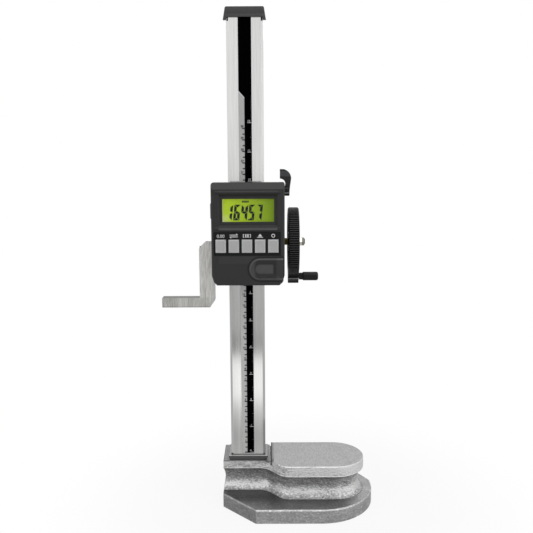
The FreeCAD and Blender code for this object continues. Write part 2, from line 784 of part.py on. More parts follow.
def rack():
    """Straight rack; a gap stands level with the axle, so that the pinion meshes at rest."""
    pitch = math.pi * size("gear_module")
    half_gap = pitch / 4.0 + size("gear_backlash") / 4.0
    line, tip = size("rack_pitch_line"), size("rack_pitch_line + rack_addendum")
    root = size("rack_pitch_line - gear_dedendum")
    lean = math.tan(math.radians(20.0))
    low, high = size("rack_low"), size("rack_high")
    first, last = low + size("rack_land"), high - size("rack_land")
    axle = size("axle_height")
    number = math.ceil((first - axle) / pitch)
    outline = [Vector(0, size("rack_floor"), low), Vector(0, tip, low)]
    while axle + number * pitch < last:
        centre = axle + number * pitch
        outline += [
            Vector(0, tip, centre - half_gap - lean * (tip - line)),
            Vector(0, root, centre - half_gap + lean * (line - root)),
            Vector(0, root, centre + half_gap - lean * (line - root)),
            Vector(0, tip, centre + half_gap + lean * (tip - line)),
        ]
        number += 1
    outline += [Vector(0, tip, high), Vector(0, size("rack_floor"), high)]
    face = Part.Face(Part.makePolygon(outline + outline[:1]))
    width = size("rack_width")
    bar = face.extrude(Vector(width, 0, 0))
    bar.translate(Vector(-width / 2.0, 0, 0))
    for level in (low + size("rack_land") / 2.0, high - size("rack_land") / 2.0):
        hole = Part.makeCylinder(1.6, 20, Vector(0, size("rack_floor") - 1, level), Vector(0, 1, 0))
        sink = Part.makeCone(1.6, 3.2, 1.6, Vector(0, tip - 1.6, level), Vector(0, 1, 0))
        bar = bar.cut(hole).cut(sink)
    plain_part("rack", bar)


def pinion():
    """Spur gear with involute flanks, bored for the axle."""
    module, teeth = size("gear_module"), int(size("tooth_count"))
    pitch_radius = module * teeth / 2.0
    base_radius = pitch_radius * math.cos(math.radians(20.0))
    tip_radius = pitch_radius + size("rack_addendum")
    root_radius = pitch_radius - size("gear_dedendum")
    spread = math.tan(math.radians(20.0)) - math.radians(20.0)
    half_tooth = math.pi / (2.0 * teeth) - size("gear_backlash") / (4.0 * pitch_radius)
    flank = []
    for step in range(7):
        radius = base_radius + (tip_radius - base_radius) * step / 6.0
        roll = math.acos(base_radius / radius)
        flank.append((radius, half_tooth + spread - (math.tan(roll) - roll)))

    def point(radius, angle):
        return Vector(0, radius * math.cos(angle), radius * math.sin(angle))

    edges = []
    pitch = 2.0 * math.pi / teeth
    for tooth in range(teeth):
        turn = math.pi + (tooth + 0.0) * pitch
        rising = [point(radius, turn - angle) for radius, angle in flank]
        falling = [point(radius, turn + angle) for radius, angle in reversed(flank)]
        foot_in = point(root_radius, turn - flank[0][1])
        foot_out = point(root_radius, turn + flank[0][1])
        following = point(root_radius, turn + pitch - flank[0][1])
        edges.append(Part.LineSegment(foot_in, rising[0]).toShape())
        curve = Part.BSplineCurve()
        curve.interpolate(rising)
        edges.append(curve.toShape())
        edges.append(Part.LineSegment(rising[-1], falling[0]).toShape())
        curve = Part.BSplineCurve()
        curve.interpolate(falling)
        edges.append(curve.toShape())
        edges.append(Part.LineSegment(falling[-1], foot_out).toShape())
        edges.append(Part.LineSegment(foot_out, following).toShape())
    face = Part.Face(Part.Wire(edges))
    width = size("pinion_width")
    gear = face.extrude(Vector(width, 0, 0))
    gear.translate(Vector(-width / 2.0, 0, 0))
    gear = gear.cut(Part.makeCylinder(size("axle_radius"), width + 2, Vector(-width / 2.0 - 1, 0, 0), Vector(1, 0, 0)))
    plain_part("pinion", gear, Vector(0, size("axle_deep"), size("axle_height")))


def slider_frame():
    """Frame that rides on the column, with a thick rear boss for the axle."""
    piece = Piece("slider_frame")
    piece.add("XY", "frame_bottom", "frame_top - frame_bottom",
              window("frame_left", "frame_right", "frame_front", "frame_back"))
    piece.edge("Chamfer", "frame_bevel", upright)
    piece.add("XY", "boss_bottom", "boss_top - boss_bottom",
              window("boss_left", "frame_right - 0.2", "frame_back - 2", "boss_back"))
    piece.edge("Fillet", "2.5", lambda edge: edge.BoundBox.YLength < 1e-4
               and edge.BoundBox.ZLength < 1e-4 and abs(edge.CenterOfMass.y - size("boss_back")) < 1e-3)
    piece.cut("XY", "frame_bottom - 1", "frame_top - frame_bottom + 2", window(
        "-0.5 * column_width - slide_gap", "gib_wall",
        "-0.5 * column_depth - slide_gap", "0.5 * column_depth + slide_gap"))
    piece.cut("XZ", "frame_front - 1", "6", window(
        "reader_left", "reader_right", "reader_bottom", "reader_top"))
    piece.cut("XZ", "0.5 * column_depth", "boss_back", window(
        "-0.5 * gear_pocket_width", "0.5 * gear_pocket_width",
        "axle_height - gear_pocket_radius", "axle_height + gear_pocket_radius"))
    piece.cut("YZ", "boss_left + 2", "frame_right - boss_left", ring("axle_deep", "axle_height", "axle_radius + 0.3"))
    piece.cut("YZ", "frame_right - 9", "10", ring("axle_deep", "axle_height", "bush_radius"))
    piece.cut("YZ", "boss_left + 2", "9", ring("axle_deep", "axle_height", "bush_radius"))
    piece.cut("YZ", "tongue_end - 4", "4", window(
        "-0.5 * jaw_thick - 0.02", "0.5 * jaw_thick + 0.02", "tongue_bottom - 0.02", "tongue_top + 0.02"))
    for level in JAW_SCREW_LEVELS:
        piece.cut("YZ", "tongue_end - 1", "3.6", ring("0", level, "2.1"))
    piece.cut("YZ", "gib_wall - 1", "frame_right", *[
        ring("0", level, "gib_screw_radius + 0.05") for level in GIB_SCREW_LEVELS])
    piece.cut("YZ", "gib_wall - 1", "frame_right", ring("0", "clamp_height", "clamp_screw_radius + 0.1"))
    for across, level in MOUNT_SPOTS:
        piece.cut("XZ", "frame_front - 1", "9", ring(across, level, "1.55"))
    for across, level in COVER_SPOTS:
        piece.cut("XZ", "boss_back - 5", "6", ring(across, level, "1.3"))


JAW_SCREW_LEVELS = ("tongue_bottom + 5", "tongue_top - 5")
GIB_SCREW_LEVELS = ("frame_bottom + 10", "0.5 * (frame_bottom + frame_top) + 8", "clamp_height - 14")
MOUNT_SPOTS = [
    ("frame_left + 4", "frame_bottom + 5"),
    ("frame_left + 4", "frame_top - 5"),
    ("frame_right - 4.5", "frame_bottom + 5"),
    ("frame_right - 4.5", "frame_top - 8"),
]
COVER_SPOTS = [
    ("-9", "axle_height - gear_pocket_radius + 1.2"),
    ("-9", "axle_height + gear_pocket_radius - 1.2"),
    ("9", "axle_height - gear_pocket_radius + 1.2"),
    ("9", "axle_height + gear_pocket_radius - 1.2"),
]


def slider_fittings():
    """Gib, its screws, the clamp's shoe, the bushes and the rear cover."""
    gib = Piece("gib_strip")
    gib.add("XY", "frame_bottom + 1", "frame_top - frame_bottom - 2", window(
        "0.5 * column_width + slide_gap", "gib_wall", "-0.5 * gib_depth", "0.5 * gib_depth"))
    screws("gib_screws", "-x", [("frame_right - 2", "0", level) for level in GIB_SCREW_LEVELS],
           "gib_screw_radius", "1.5", "gib_screw_radius - 0.1", "frame_right - 2 - gib_wall", "1.1")
    shoe = solid("Cylinder", "clamp_shoe", ("gib_wall", "0", "clamp_height"), Rotation(Vector(0, 1, 0), 90),
                 Radius="clamp_screw_radius", Height="2.4")
    parts.append(shoe)
    for label, start, length, flange in (
            ("shaft_bush", "frame_right - 9", "9", True), ("inner_bush", "boss_left + 2", "9", False)):
        bush = Piece(label)
        bush.add("YZ", start, length, ring("axle_deep", "axle_height", "bush_radius"))
        if flange:
            bush.add("YZ", "frame_right", "bush_flange", ring("axle_deep", "axle_height", "bush_flange_radius"))
        bush.cut("YZ", start + " - 1", length + " + 4", ring("axle_deep", "axle_height", "axle_radius + 0.05"))
    cover = Piece("rear_cover")
    cover.add("XZ", "boss_back", "1.8", window("-12", "12", "boss_bottom + 0.9", "boss_top - 0.9"))
    cover.edge("Fillet", "2", lambda edge: edge.BoundBox.XLength < 1e-4 and edge.BoundBox.ZLength < 1e-4)
    cover.cut("XZ", "boss_back - 1", "4", *[ring(across, level, "1.35") for across, level in COVER_SPOTS])
    screws("rear_cover_screws", "-y", [(across, "boss_back + 1.8", level) for across, level in COVER_SPOTS],
           "2.1", "1.4", "1.2", "5.5", "0.9")


def measuring_jaw():
    """Cranked jaw of square bar: a level bar, an upright and a tongue let into the frame."""
    piece = Piece("measuring_jaw")
    piece.add("XZ", "-0.5 * jaw_thick", "jaw_thick", loop([
        ("jaw_left", "jaw_bottom"),
        ("jaw_right - jaw_chamfer + 1", "jaw_bottom"),
        ("jaw_right", "jaw_bottom + jaw_chamfer + 1"),
        ("jaw_right", "tongue_bottom"),
        ("tongue_end", "tongue_bottom"),
        ("tongue_end", "tongue_top"),
        ("jaw_right", "tongue_top"),
        ("jaw_right", "jaw_top"),
        ("jaw_inner + jaw_chamfer", "jaw_top"),
        ("jaw_inner", "jaw_top - jaw_chamfer"),
        ("jaw_inner", "jaw_bottom + jaw_bar"),
        ("jaw_left", "jaw_bottom + jaw_bar"),
    ]))
    for level in JAW_SCREW_LEVELS:
        piece.cut("YZ", "jaw_inner - 1", "5.6", ring("0", level, "3.7"))
        piece.cut("YZ", "jaw_inner - 1", "tongue_end - jaw_inner + 2", ring("0", level, "2.2"))
    piece.edge("Chamfer", "0.4", lambda edge: abs(edge.CenterOfMass.x - size("jaw_left")) < 1e-3)
    screws("jaw_screws", "+x", [("jaw_inner + 4.6", "0", level) for level in JAW_SCREW_LEVELS],
           "3.5", "4.2", "2", "tongue_end - jaw_inner - 4.6 + 2.4", "1.7")


def housing():
    """Moulded display housing: shell, back plate and everything let into them."""
    outline = [
        ("case_left + case_low_cut_x", "case_bottom"),
        ("case_right - case_low_cut_x", "case_bottom"),
        ("case_right - 0.4 * case_low_cut_x", "case_bottom + 0.3 * case_low_cut_y"),
        ("case_right", "case_bottom + case_low_cut_y"),
        ("case_right", "case_top - case_corner"),
        ("case_right - case_corner", "case_top"),
        ("case_left + 2", "case_top"),
        ("case_left", "case_top - 2"),
        ("case_left", "case_bottom + case_low_cut_y"),
        ("case_left + 0.4 * case_low_cut_x", "case_bottom + 0.3 * case_low_cut_y"),
    ]
    arcs = {4: ("case_corner", 1), 6: ("2", 1)}
    shell = Piece("housing_front")
    shell.add("XZ", "case_front", "case_joint - case_front", loop(outline, arcs))
    front = size("case_front")
    shell.edge("Chamfer", "case_edge", lambda edge: abs(edge.BoundBox.YMax - front) < 1e-4
               and edge.CenterOfMass.z < size("case_top") - 1.5)
    shell.cut("YZ", "case_left - 1", "case_right - case_left + 2", loop([
        ("case_front - 1", "case_top + 1"),
        ("case_front - 1", "case_top - case_crown - 0.6"),
        ("case_front", "case_top - case_crown"),
        ("case_front + case_crown_depth", "case_top + 0.05"),
        ("case_front + case_crown_depth", "case_top + 1"),
    ]))
    for middle in ("upper_ridge", "lower_ridge"):
        low, high = middle + " - ridge_half", middle + " + ridge_half"
        shell.add("XZ", "case_front - ridge_height", "ridge_height + 0.5", loop(
            [
                ("ridge_left", low),
                ("ridge_right", low),
                ("ridge_right", high),
                ("ridge_left", high),
            ],
            {1: ("ridge_half + 0.001", 1), 3: ("ridge_half + 0.001", 1)}))
        shell.edge("Chamfer", "0.5", lambda edge: abs(edge.BoundBox.YMax - size("case_front - ridge_height")) < 1e-4
                   and abs(edge.CenterOfMass.z - size(middle)) < 3)
    shell.cut("XZ", "case_front + case_face", "case_joint - case_front - case_face + 1", loop([
        ("case_left + case_wall + case_low_cut_x", "case_bottom + case_wall"),
        ("case_right - case_wall - case_low_cut_x", "case_bottom + case_wall"),
        ("case_right - case_wall", "case_bottom + case_wall + case_low_cut_y"),
        ("case_right - case_wall", "case_top - case_wall - 1"),
        ("case_left + case_wall", "case_top - case_wall - 1"),
        ("case_left + case_wall", "case_bottom + case_wall + case_low_cut_y"),
    ]))
    shell.cut("XZ", "case_front - 1", "bezel_depth + 1",
              window("bezel_left", "bezel_right", "bezel_bottom", "bezel_top"))
    shell.edge("Chamfer", "1.0", lambda edge: abs(edge.BoundBox.YMax - front) < 1e-4
               and abs(edge.BoundBox.YMin - front) < 1e-4
               and size("bezel_left") - 0.1 < edge.CenterOfMass.x < size("bezel_right") + 0.1
               and size("bezel_bottom") - 0.1 < edge.CenterOfMass.z < size("bezel_top") + 0.1)
    shell.cut("XZ", "case_front", "case_face + 1",
              window("glass_left", "glass_right", "glass_bottom", "glass_top"))
    shell.cut("XZ", "case_front - 1", "panel_depth + 1",
              window("panel_left", "panel_right", "panel_bottom", "panel_top"))
    shell.cut("XZ", "case_front - 1", "case_face + 2", *[key_window("key_gap", n) for n in range(5)])
    cover_radius = "0.5 * (cover_top - cover_bottom)"
    middle = "0.5 * (cover_top + cover_bottom)"
    shell.cut("XZ", "case_front - 1", "cover_sunk + 1", loop(
        [
            ("cover_left + " + cover_radius, "cover_top + cover_gap"),
            ("cover_left - cover_gap", middle),
            ("cover_left + " + cover_radius, "cover_bottom - cover_gap"),
            ("case_right + 1", "cover_bottom - cover_gap"),
            ("case_right + 1", "cover_top + cover_gap"),
        ],
        {0: (cover_radius + " + cover_gap", 1), 1: (cover_radius + " + cover_gap", 1)}))
    shell.cut("XZ", "case_front + cover_sunk - 0.5", "case_face", ring("cell_across", middle, "cell_radius + 0.3"))
    shell.cut("YZ", "case_left - 1", "case_wall + 2", window("port_front", "port_back", "port_bottom", "port_top"))
    for across, level in CASE_SPOTS:
        shell.add("XZ", "case_front + case_face - 0.5", "case_joint - case_front - case_face + 0.5",
                  ring(across, level, "2.1"))
    shell.cut("XZ", "case_joint - 7", "8", *[ring(across, level, "0.95") for across, level in CASE_SPOTS])

    back = Piece("housing_back")
    back.add("XZ", "case_joint", "frame_front - case_joint", loop(outline, arcs))
    back.cut("XZ", "case_joint - 1", "4", window(
        "reader_left", "reader_right", "reader_bottom", "reader_top"))
    back.cut("XZ", "case_joint - 1", "4", *[ring(across, level, "1.0") for across, level in CASE_SPOTS])
    back.cut("XZ", "frame_front - 1.1", "2", *[ring(across, level, "1.9") for across, level in CASE_SPOTS])
    back.cut("XZ", "case_joint - 1", "4", *[ring(across, level, "1.6") for across, level in MOUNT_SPOTS])
    screws("housing_screws", "-y", [(across, "frame_front - 1.1", level) for across, level in CASE_SPOTS],
           "1.75", "0.9", "0.9", "6", "0.7")
    screws("mount_screws", "+y", [(across, "case_joint", level) for across, level in MOUNT_SPOTS],
           "2.6", "2", "1.5", "9", "1.2")

    glass = Piece("display_window")
    glass.add("XZ", "case_front + bezel_depth", "case_face - bezel_depth", window(
        "glass_left + 0.05", "glass_right - 0.05", "glass_bottom + 0.05", "glass_top - 0.05"))
    display = Piece("lcd_module")
    display.add("XZ", "case_front + case_face + 0.2", "2.3", window(
        "glass_left - 2.4", "glass_right + 2.4", "glass_bottom - 2.4", "glass_top + 2.4"))
    board = Piece("circuit_board")
    board.add("XZ", "case_front + case_face + 2.5", "1.6", window(
        "case_left + 5.4", "case_right - 5.4", "case_bottom + 6", "case_top - 11"))
    switches = Piece("key_switches")
    switches.add("XZ", "case_front + case_face + 1.8", "0.7", *[
        ring("%s" % key_across(n), "0.5 * (key_bottom + key_top)", "2.4") for n in range(5)])
    reader = Piece("reader_head")
    reader.add("XZ", "case_front + case_face + 4.1", "frame_front + 4.2 - case_front - case_face - 4.1", window(
        "reader_left + 0.4", "reader_right - 0.4", "reader_bottom + 0.4", "reader_top - 0.4"))

    panel = Piece("key_panel")
    panel.add("XZ", "case_front + panel_depth - panel_sheet", "panel_sheet", window(
        "panel_left + 0.1", "panel_right - 0.1", "panel_bottom + 0.1", "panel_top - 0.1"))
    panel.cut("XZ", "case_front - 1", "3", *[key_window("key_gap", n) for n in range(5)])

    cell = Piece("coin_cell")
    cell.add("XZ", "case_front + cover_sunk + 0.1", "cell_thickness - 0.4", ring("cell_across", middle, "cell_radius"))
    cell.add("XZ", "case_front + cover_sunk + cell_thickness - 0.3", "0.4",
             ring("cell_across", middle, "cell_radius - 1.6"))
    contacts = Piece("battery_contacts")
    contacts.add("XZ", "case_front + cover_sunk + cell_thickness + 0.1",
                 "case_face + 2.4 - cover_sunk - cell_thickness",
                 window("cell_across - 6", "cell_across - 3", middle + " - 4", middle + " + 4"),
                 window("cell_across + 3", "cell_across + 6", middle + " - 4", middle + " + 4"))
    port = Piece("port_connector")
    port.add("XZ", "port_front + 0.6", "case_front + case_face + 2.5 - port_front - 0.6", window(
        "case_left + 5.4", "case_left + 7.1", "port_bottom + 2", "port_top - 2"))


CASE_SPOTS = [
    ("case_left + 3.2", "case_bottom + 11"),
    ("case_left + 3.2", "case_top - 6.5"),
    ("case_right - 2.3", "case_bottom + 11"),
    ("case_right - 2.3", "case_top - 6.5"),
]


def key_across(number):
    """Middle of a key, from the left."""
    return "key_middle + %d * key_pitch" % (number - 2)


def key_window(gap, number):
    """Outline of one key, widened all round by a gap."""
    across = key_across(number)
    return window(
        "%s - 0.5 * key_width - %s" % (across, gap), "%s + 0.5 * key_width + %s" % (across, gap),
        "key_bottom - " + gap, "key_top + " + gap)


def keys():
    """Five push keys, each with a collar behind the face that holds it in."""
    for number in range(5):
        key = Piece("key_%d" % (number + 1))
        key.add("XZ", "key_front", "key_flange_front - key_front", key_window("0", number))
        key.edge("Chamfer", "0.6", lambda edge: abs(edge.BoundBox.YMax - size("key_front")) < 1e-4)
        key.add("XZ", "key_flange_front", "key_flange_back - key_flange_front", key_window("key_collar", number))


def covers():
    """Sliding battery cover with a raised grip, and the plug over the data port."""
    radius = "(0.5 * (cover_top - cover_bottom))"
    middle = "0.5 * (cover_top + cover_bottom)"
    cover = Piece("battery_cover")

    def tongue(inset, finish="case_right - case_edge"):
        """Outline with a rounded left end, drawn in by the inset and straight at its right end."""
        return loop(
            [
                ("cover_left + " + radius, "cover_top - (%s)" % inset),
                ("cover_left + " + inset, middle),
                ("cover_left + " + radius, "cover_bottom + " + inset),
                (finish, "cover_bottom + " + inset),
                (finish, "cover_top - (%s)" % inset),
            ],
            {0: ("%s - (%s)" % (radius, inset), 1), 1: ("%s - (%s)" % (radius, inset), 1)})

    cover.add("XZ", "case_front", "cover_sunk - 0.15", tongue("0.05"))
    cover.add("XZ", "case_front - cover_raise", "cover_raise + 0.3", tongue("cover_rim"))
    cover.edge("Chamfer", "0.7", lambda edge: abs(edge.BoundBox.YMax - size("case_front - cover_raise")) < 1e-4
               and edge.CenterOfMass.x < size("case_right - case_edge") - 0.1)
    rim = cover.sketch("XZ", "case_front - cover_raise", [tongue("dish_rim", "case_right - 2")])
    floor = cover.sketch("XZ", "case_front - cover_raise + dish_depth", [
        tongue("dish_rim + dish_slope", "case_right - 2 - dish_run")])
    before = cover.volume()
    dish = cover.body.newObject("PartDesign::SubtractiveLoft", cover.name("dish"))
    dish.Profile = rim
    dish.Sections = [floor]
    dish.Ruled = True
    cover.settle(dish)
    if cover.volume() > before - 50:
        raise RuntimeError("the dish removed no material")

    plug = Piece("port_cover")
    plug.add("YZ", "case_left - port_bulge", "port_bulge + case_wall", window(
        "port_front + 0.15", "port_back - 0.15", "port_bottom + 0.15", "port_top - 0.15"))
    plug.edge("Chamfer", "0.6", lambda edge: abs(edge.BoundBox.XMax - size("case_left - port_bulge")) < 1e-4)
    plug.add("YZ", "case_left + case_wall", "2.6", window(
        "port_front + 1.2", "port_back - 1.2", "port_bottom + 2.4", "port_top - 2.4"))


def crank():
    """Axle, ribbed wheel with its lug, nut, and the grip on its pin."""
    shaft = Piece("pinion_shaft")
    shaft.turn([loop([
        ("boss_left + 2.4", "0"),
        ("wheel_far + 6.0", "0"),
        ("wheel_far + 6.0", "axle_radius - 0.9"),
        ("wheel_far + 5.6", "axle_radius - 0.5"),
        ("wheel_near", "axle_radius - 0.5"),
        ("wheel_near", "axle_radius"),
        ("boss_left + 2.4", "axle_radius"),
    ])])
    shaft.place("0", "axle_deep", "axle_height")

    wheel = Piece("handwheel")
    wheel.turn([loop([
        ("wheel_near", "axle_radius - 0.45"),
        ("wheel_far", "axle_radius - 0.45"),
        ("wheel_far", "wheel_hub_radius"),
        ("wheel_web_far", "wheel_hub_radius + 1.5"),
        ("wheel_web_far", "wheel_radius - wheel_rim"),
        ("wheel_far", "wheel_radius - wheel_rim + 1"),
        ("wheel_far", "wheel_radius - wheel_bevel"),
        ("wheel_far - wheel_bevel", "wheel_radius"),
        ("wheel_near + wheel_bevel", "wheel_radius"),
        ("wheel_near", "wheel_radius - wheel_bevel"),
        ("wheel_near", "wheel_radius - wheel_rim + 1"),
        ("wheel_web_near", "wheel_radius - wheel_rim"),
        ("wheel_web_near", "wheel_hub_radius + 1.5"),
        ("wheel_near", "wheel_hub_radius"),
    ])])
    pitch_out = "(2 * pi * wheel_radius / rib_count)"
    rib = wheel.cut("YZ", "wheel_near - 1", "wheel_far - wheel_near + 2", loop([
        ("-0.28 * %s" % pitch_out, "wheel_radius + 0.5"),
        ("-0.16 * %s" % pitch_out, "wheel_radius - wheel_rib_depth"),
        ("0.16 * %s" % pitch_out, "wheel_radius - wheel_rib_depth"),
        ("0.28 * %s" % pitch_out, "wheel_radius + 0.5"),
    ]))
    before = wheel.volume()
    pattern = wheel.body.newObject("PartDesign::PolarPattern", wheel.name("ribs"))
    pattern.Originals = [rib]
    for feature in wheel.body.Origin.OriginFeatures:
        if feature.Role == "X_Axis":
            pattern.Axis = (feature, [""])
    pattern.Angle = 360
    pattern.setExpression("Occurrences", bound("rib_count"))
    wheel.body.Tip = pattern
    doc.recompute()
    if wheel.volume() > before - 50:
        raise RuntimeError("the wheel has no ribs")
    wheel.add("YZ", "wheel_near", "wheel_far - wheel_near", loop(
        [
            ("-1 * lug_radius - 2.5", "-1 * wheel_radius + 4"),
            ("-1 * lug_radius", "-1 * lug_drop"),
            ("lug_radius", "-1 * lug_drop"),
            ("lug_radius + 2.5", "-1 * wheel_radius + 4"),
        ],
        {1: ("lug_radius + 0.001", 1)}))
    wheel.cut("YZ", "wheel_near - 1", "wheel_far - wheel_near + 2", ring("0", "-1 * lug_drop", "pin_radius"))
    wheel.place("0", "axle_deep", "axle_height")

    washer = Piece("wheel_washer")
    washer.turn([window("wheel_far", "wheel_far + 1", "axle_radius - 0.45", "4.6")])
    washer.place("0", "axle_deep", "axle_height")
    nut = Piece("wheel_nut")
    flat = "3.6"
    nut.add("YZ", "wheel_far + 1", "4.4", loop([
        ("%s * cos(%d deg) / cos(30 deg)" % (flat, 60 * n), "%s * sin(%d deg) / cos(30 deg)" % (flat, 60 * n))
        for n in range(6)]))
    nut.edge("Chamfer", "0.45", lambda edge: abs(edge.CenterOfMass.x - size("wheel_far + 5.4")) < 1e-3)
    nut.cut("YZ", "wheel_far", "7", ring("0", "0", "axle_radius - 0.45"))
    nut.place("0", "axle_deep", "axle_height")

    pin = Piece("grip_pin")
    pin.turn([loop([
        ("wheel_near", "0"),
        ("grip_far - 3", "0"),
        ("grip_far - 3", "pin_radius"),
        ("wheel_near", "pin_radius"),
    ])])
    pin.place("0", "axle_deep", "axle_height - lug_drop")

    grip = Piece("crank_grip")
    grip.turn([loop(
        [
            ("grip_near", "pin_radius + 0.08"),
            ("grip_far - 2.8", "pin_radius + 0.08"),
            ("grip_far - 2.8", "0"),
            ("grip_far", "0"),
            ("grip_far", "grip_radius - 1.8"),
            ("grip_far - 1.8", "grip_radius"),
            ("grip_waist", "grip_radius"),
            ("grip_waist - 0.8", "grip_radius - 0.7"),
            ("grip_near", "grip_radius - 0.9"),
        ],
        {4: ("1.8", 1)})])
    grip.place("0", "axle_deep", "axle_height - lug_drop")


def clamp():
    """Hooked clamp lever on its screw."""
    lever = Piece("clamp_lever")
    lever.add("XZ", "-1 * lever_half", "2 * lever_half", loop(
        [
            ("lever_hub_near", "clamp_height"),
            ("lever_hub_far", "clamp_height"),
            ("lever_hub_far + 0.4", "clamp_height + 4"),
            ("lever_hub_far + 1.4", "clamp_height + 11"),
            ("lever_hub_near - 0.6", "clamp_height + 19.3"),
            ("lever_hub_near - 4", "clamp_height + 19.3"),
            ("lever_hub_near - 4", "clamp_height + 10.9"),
            ("lever_hub_near + 0.9", "clamp_height + 6"),
        ],
        {3: ("8.4", 1), 6: ("4.9", -1)}))
    lever.add("YZ", "lever_hub_near", "lever_hub_far - lever_hub_near", ring("0", "clamp_height", "lever_hub_radius"))
    lever.edge("Chamfer", "0.5", lambda edge: abs(edge.CenterOfMass.x - size("lever_hub_far")) < 1e-3
               and edge.CenterOfMass.z < size("clamp_height") + 1)
    lever.cut("YZ", "lever_hub_near - 1", "4", ring("0", "clamp_height", "clamp_screw_radius"))
    stud = Piece("clamp_screw")
    stud.add("YZ", "gib_wall + 2.6", "lever_hub_near + 3 - gib_wall - 2.6",
             ring("0", "clamp_height", "clamp_screw_radius"))


def strip():
    """Printed strip in the column's front slot."""
    piece = solid("Box", "scale_strip",
                  ("strip_left", "-0.5 * column_depth + strip_sunk", "strip_bottom"),
                  Length="strip_right - strip_left", Width="strip_thickness", Height="strip_top - strip_bottom")
    parts.append(piece)


base_casting()
column()
foot_collar()
screws("column_bolts", "+z",
       [("-0.5 * bolt_spacing", "0", "bolt_seat"), ("0.5 * bolt_spacing", "0", "bolt_seat")],
       "bolt_head_radius", "bolt_head_height", "bolt_radius", "bolt_length", "2.3")
rack()
screws("rack_screws", "-y",
       [("0", "rack_pitch_line + rack_addendum - 1.6", level)
        for level in ("rack_low + 0.5 * rack_land", "rack_high - 0.5 * rack_land")],
       "3.1", "1.5", "1.5", "11", "1.1", sunk=True)
strip()
column_cap()
screws("cap_screw", "-z", [("0", "0", "cap_top - cap_screw_sunk")], "3.6", "2.2", "2", "14", "1.6")
slider_frame()
slider_fittings()
measuring_jaw()
housing()
keys()
covers()
crank()
pinion()
clamp()
doc.recompute()

failed = [thing.Label for thing in doc.Objects if "Invalid" in thing.State or "Error" in thing.State]
if failed:
    raise RuntimeError("failed objects: " + ", ".join(failed))
for piece in parts:
    if piece.Shape.isNull() or not piece.Shape.isValid() or not piece.Shape.Solids:
        raise RuntimeError("bad shape: " + piece.Label)
os.makedirs("parts", exist_ok=True)
for piece in parts:
    box = piece.Shape.BoundBox
    print("%-20s %8.1f mm3 %2d solids  %7.1f %7.1f %7.1f  %7.1f %7.1f %7.1f" % (
        piece.Label, piece.Shape.Volume, len(piece.Shape.Solids),
        box.XMin, box.YMin, box.ZMin, box.XMax, box.YMax, box.ZMax))
    piece.Shape.exportStep("parts/%s.step" % piece.Label)
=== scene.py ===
"""Digital height gauge: finishes, printed scale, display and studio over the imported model.

Everything is in metres: X to the right as the display is read, Y to the back, Z up.
"""

import json
import logging
import math
from dataclasses import dataclass, field
from enum import Enum
from typing import Any, Iterable, Optional, Sequence, Union

import bmesh
import bpy
from mathutils import Matrix, Vector

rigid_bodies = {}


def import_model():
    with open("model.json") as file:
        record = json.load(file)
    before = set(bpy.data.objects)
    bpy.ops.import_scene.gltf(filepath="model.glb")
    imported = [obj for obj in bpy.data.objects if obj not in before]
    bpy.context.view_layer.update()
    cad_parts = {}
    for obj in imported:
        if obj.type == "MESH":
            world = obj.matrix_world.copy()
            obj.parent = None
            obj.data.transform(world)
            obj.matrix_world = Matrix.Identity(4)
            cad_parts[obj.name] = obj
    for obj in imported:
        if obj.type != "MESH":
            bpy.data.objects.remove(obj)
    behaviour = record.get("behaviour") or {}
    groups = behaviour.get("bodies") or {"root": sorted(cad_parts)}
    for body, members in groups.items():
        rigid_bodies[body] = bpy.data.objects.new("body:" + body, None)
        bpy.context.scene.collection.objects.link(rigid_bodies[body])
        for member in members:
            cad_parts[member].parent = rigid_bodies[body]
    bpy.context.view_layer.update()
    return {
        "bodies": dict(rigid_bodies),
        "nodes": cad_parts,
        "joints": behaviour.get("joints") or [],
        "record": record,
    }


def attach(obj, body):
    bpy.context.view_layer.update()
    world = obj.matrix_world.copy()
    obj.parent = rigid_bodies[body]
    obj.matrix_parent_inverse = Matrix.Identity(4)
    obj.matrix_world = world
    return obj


LOG = logging.getLogger("height_gauge")
MM = 0.001
FONT_SIZE = 1.38  # size of Blender's font over the height of its digits
WRAP = 200.5  # keeps a fraction positive and puts its middle at the whole numbers

Triple = tuple[float, float, float]
Colour = Triple
Point = tuple[float, float]
Value = Union["Signal", float]
Links = dict[str, Any]
Pieces = list[bpy.types.Object]


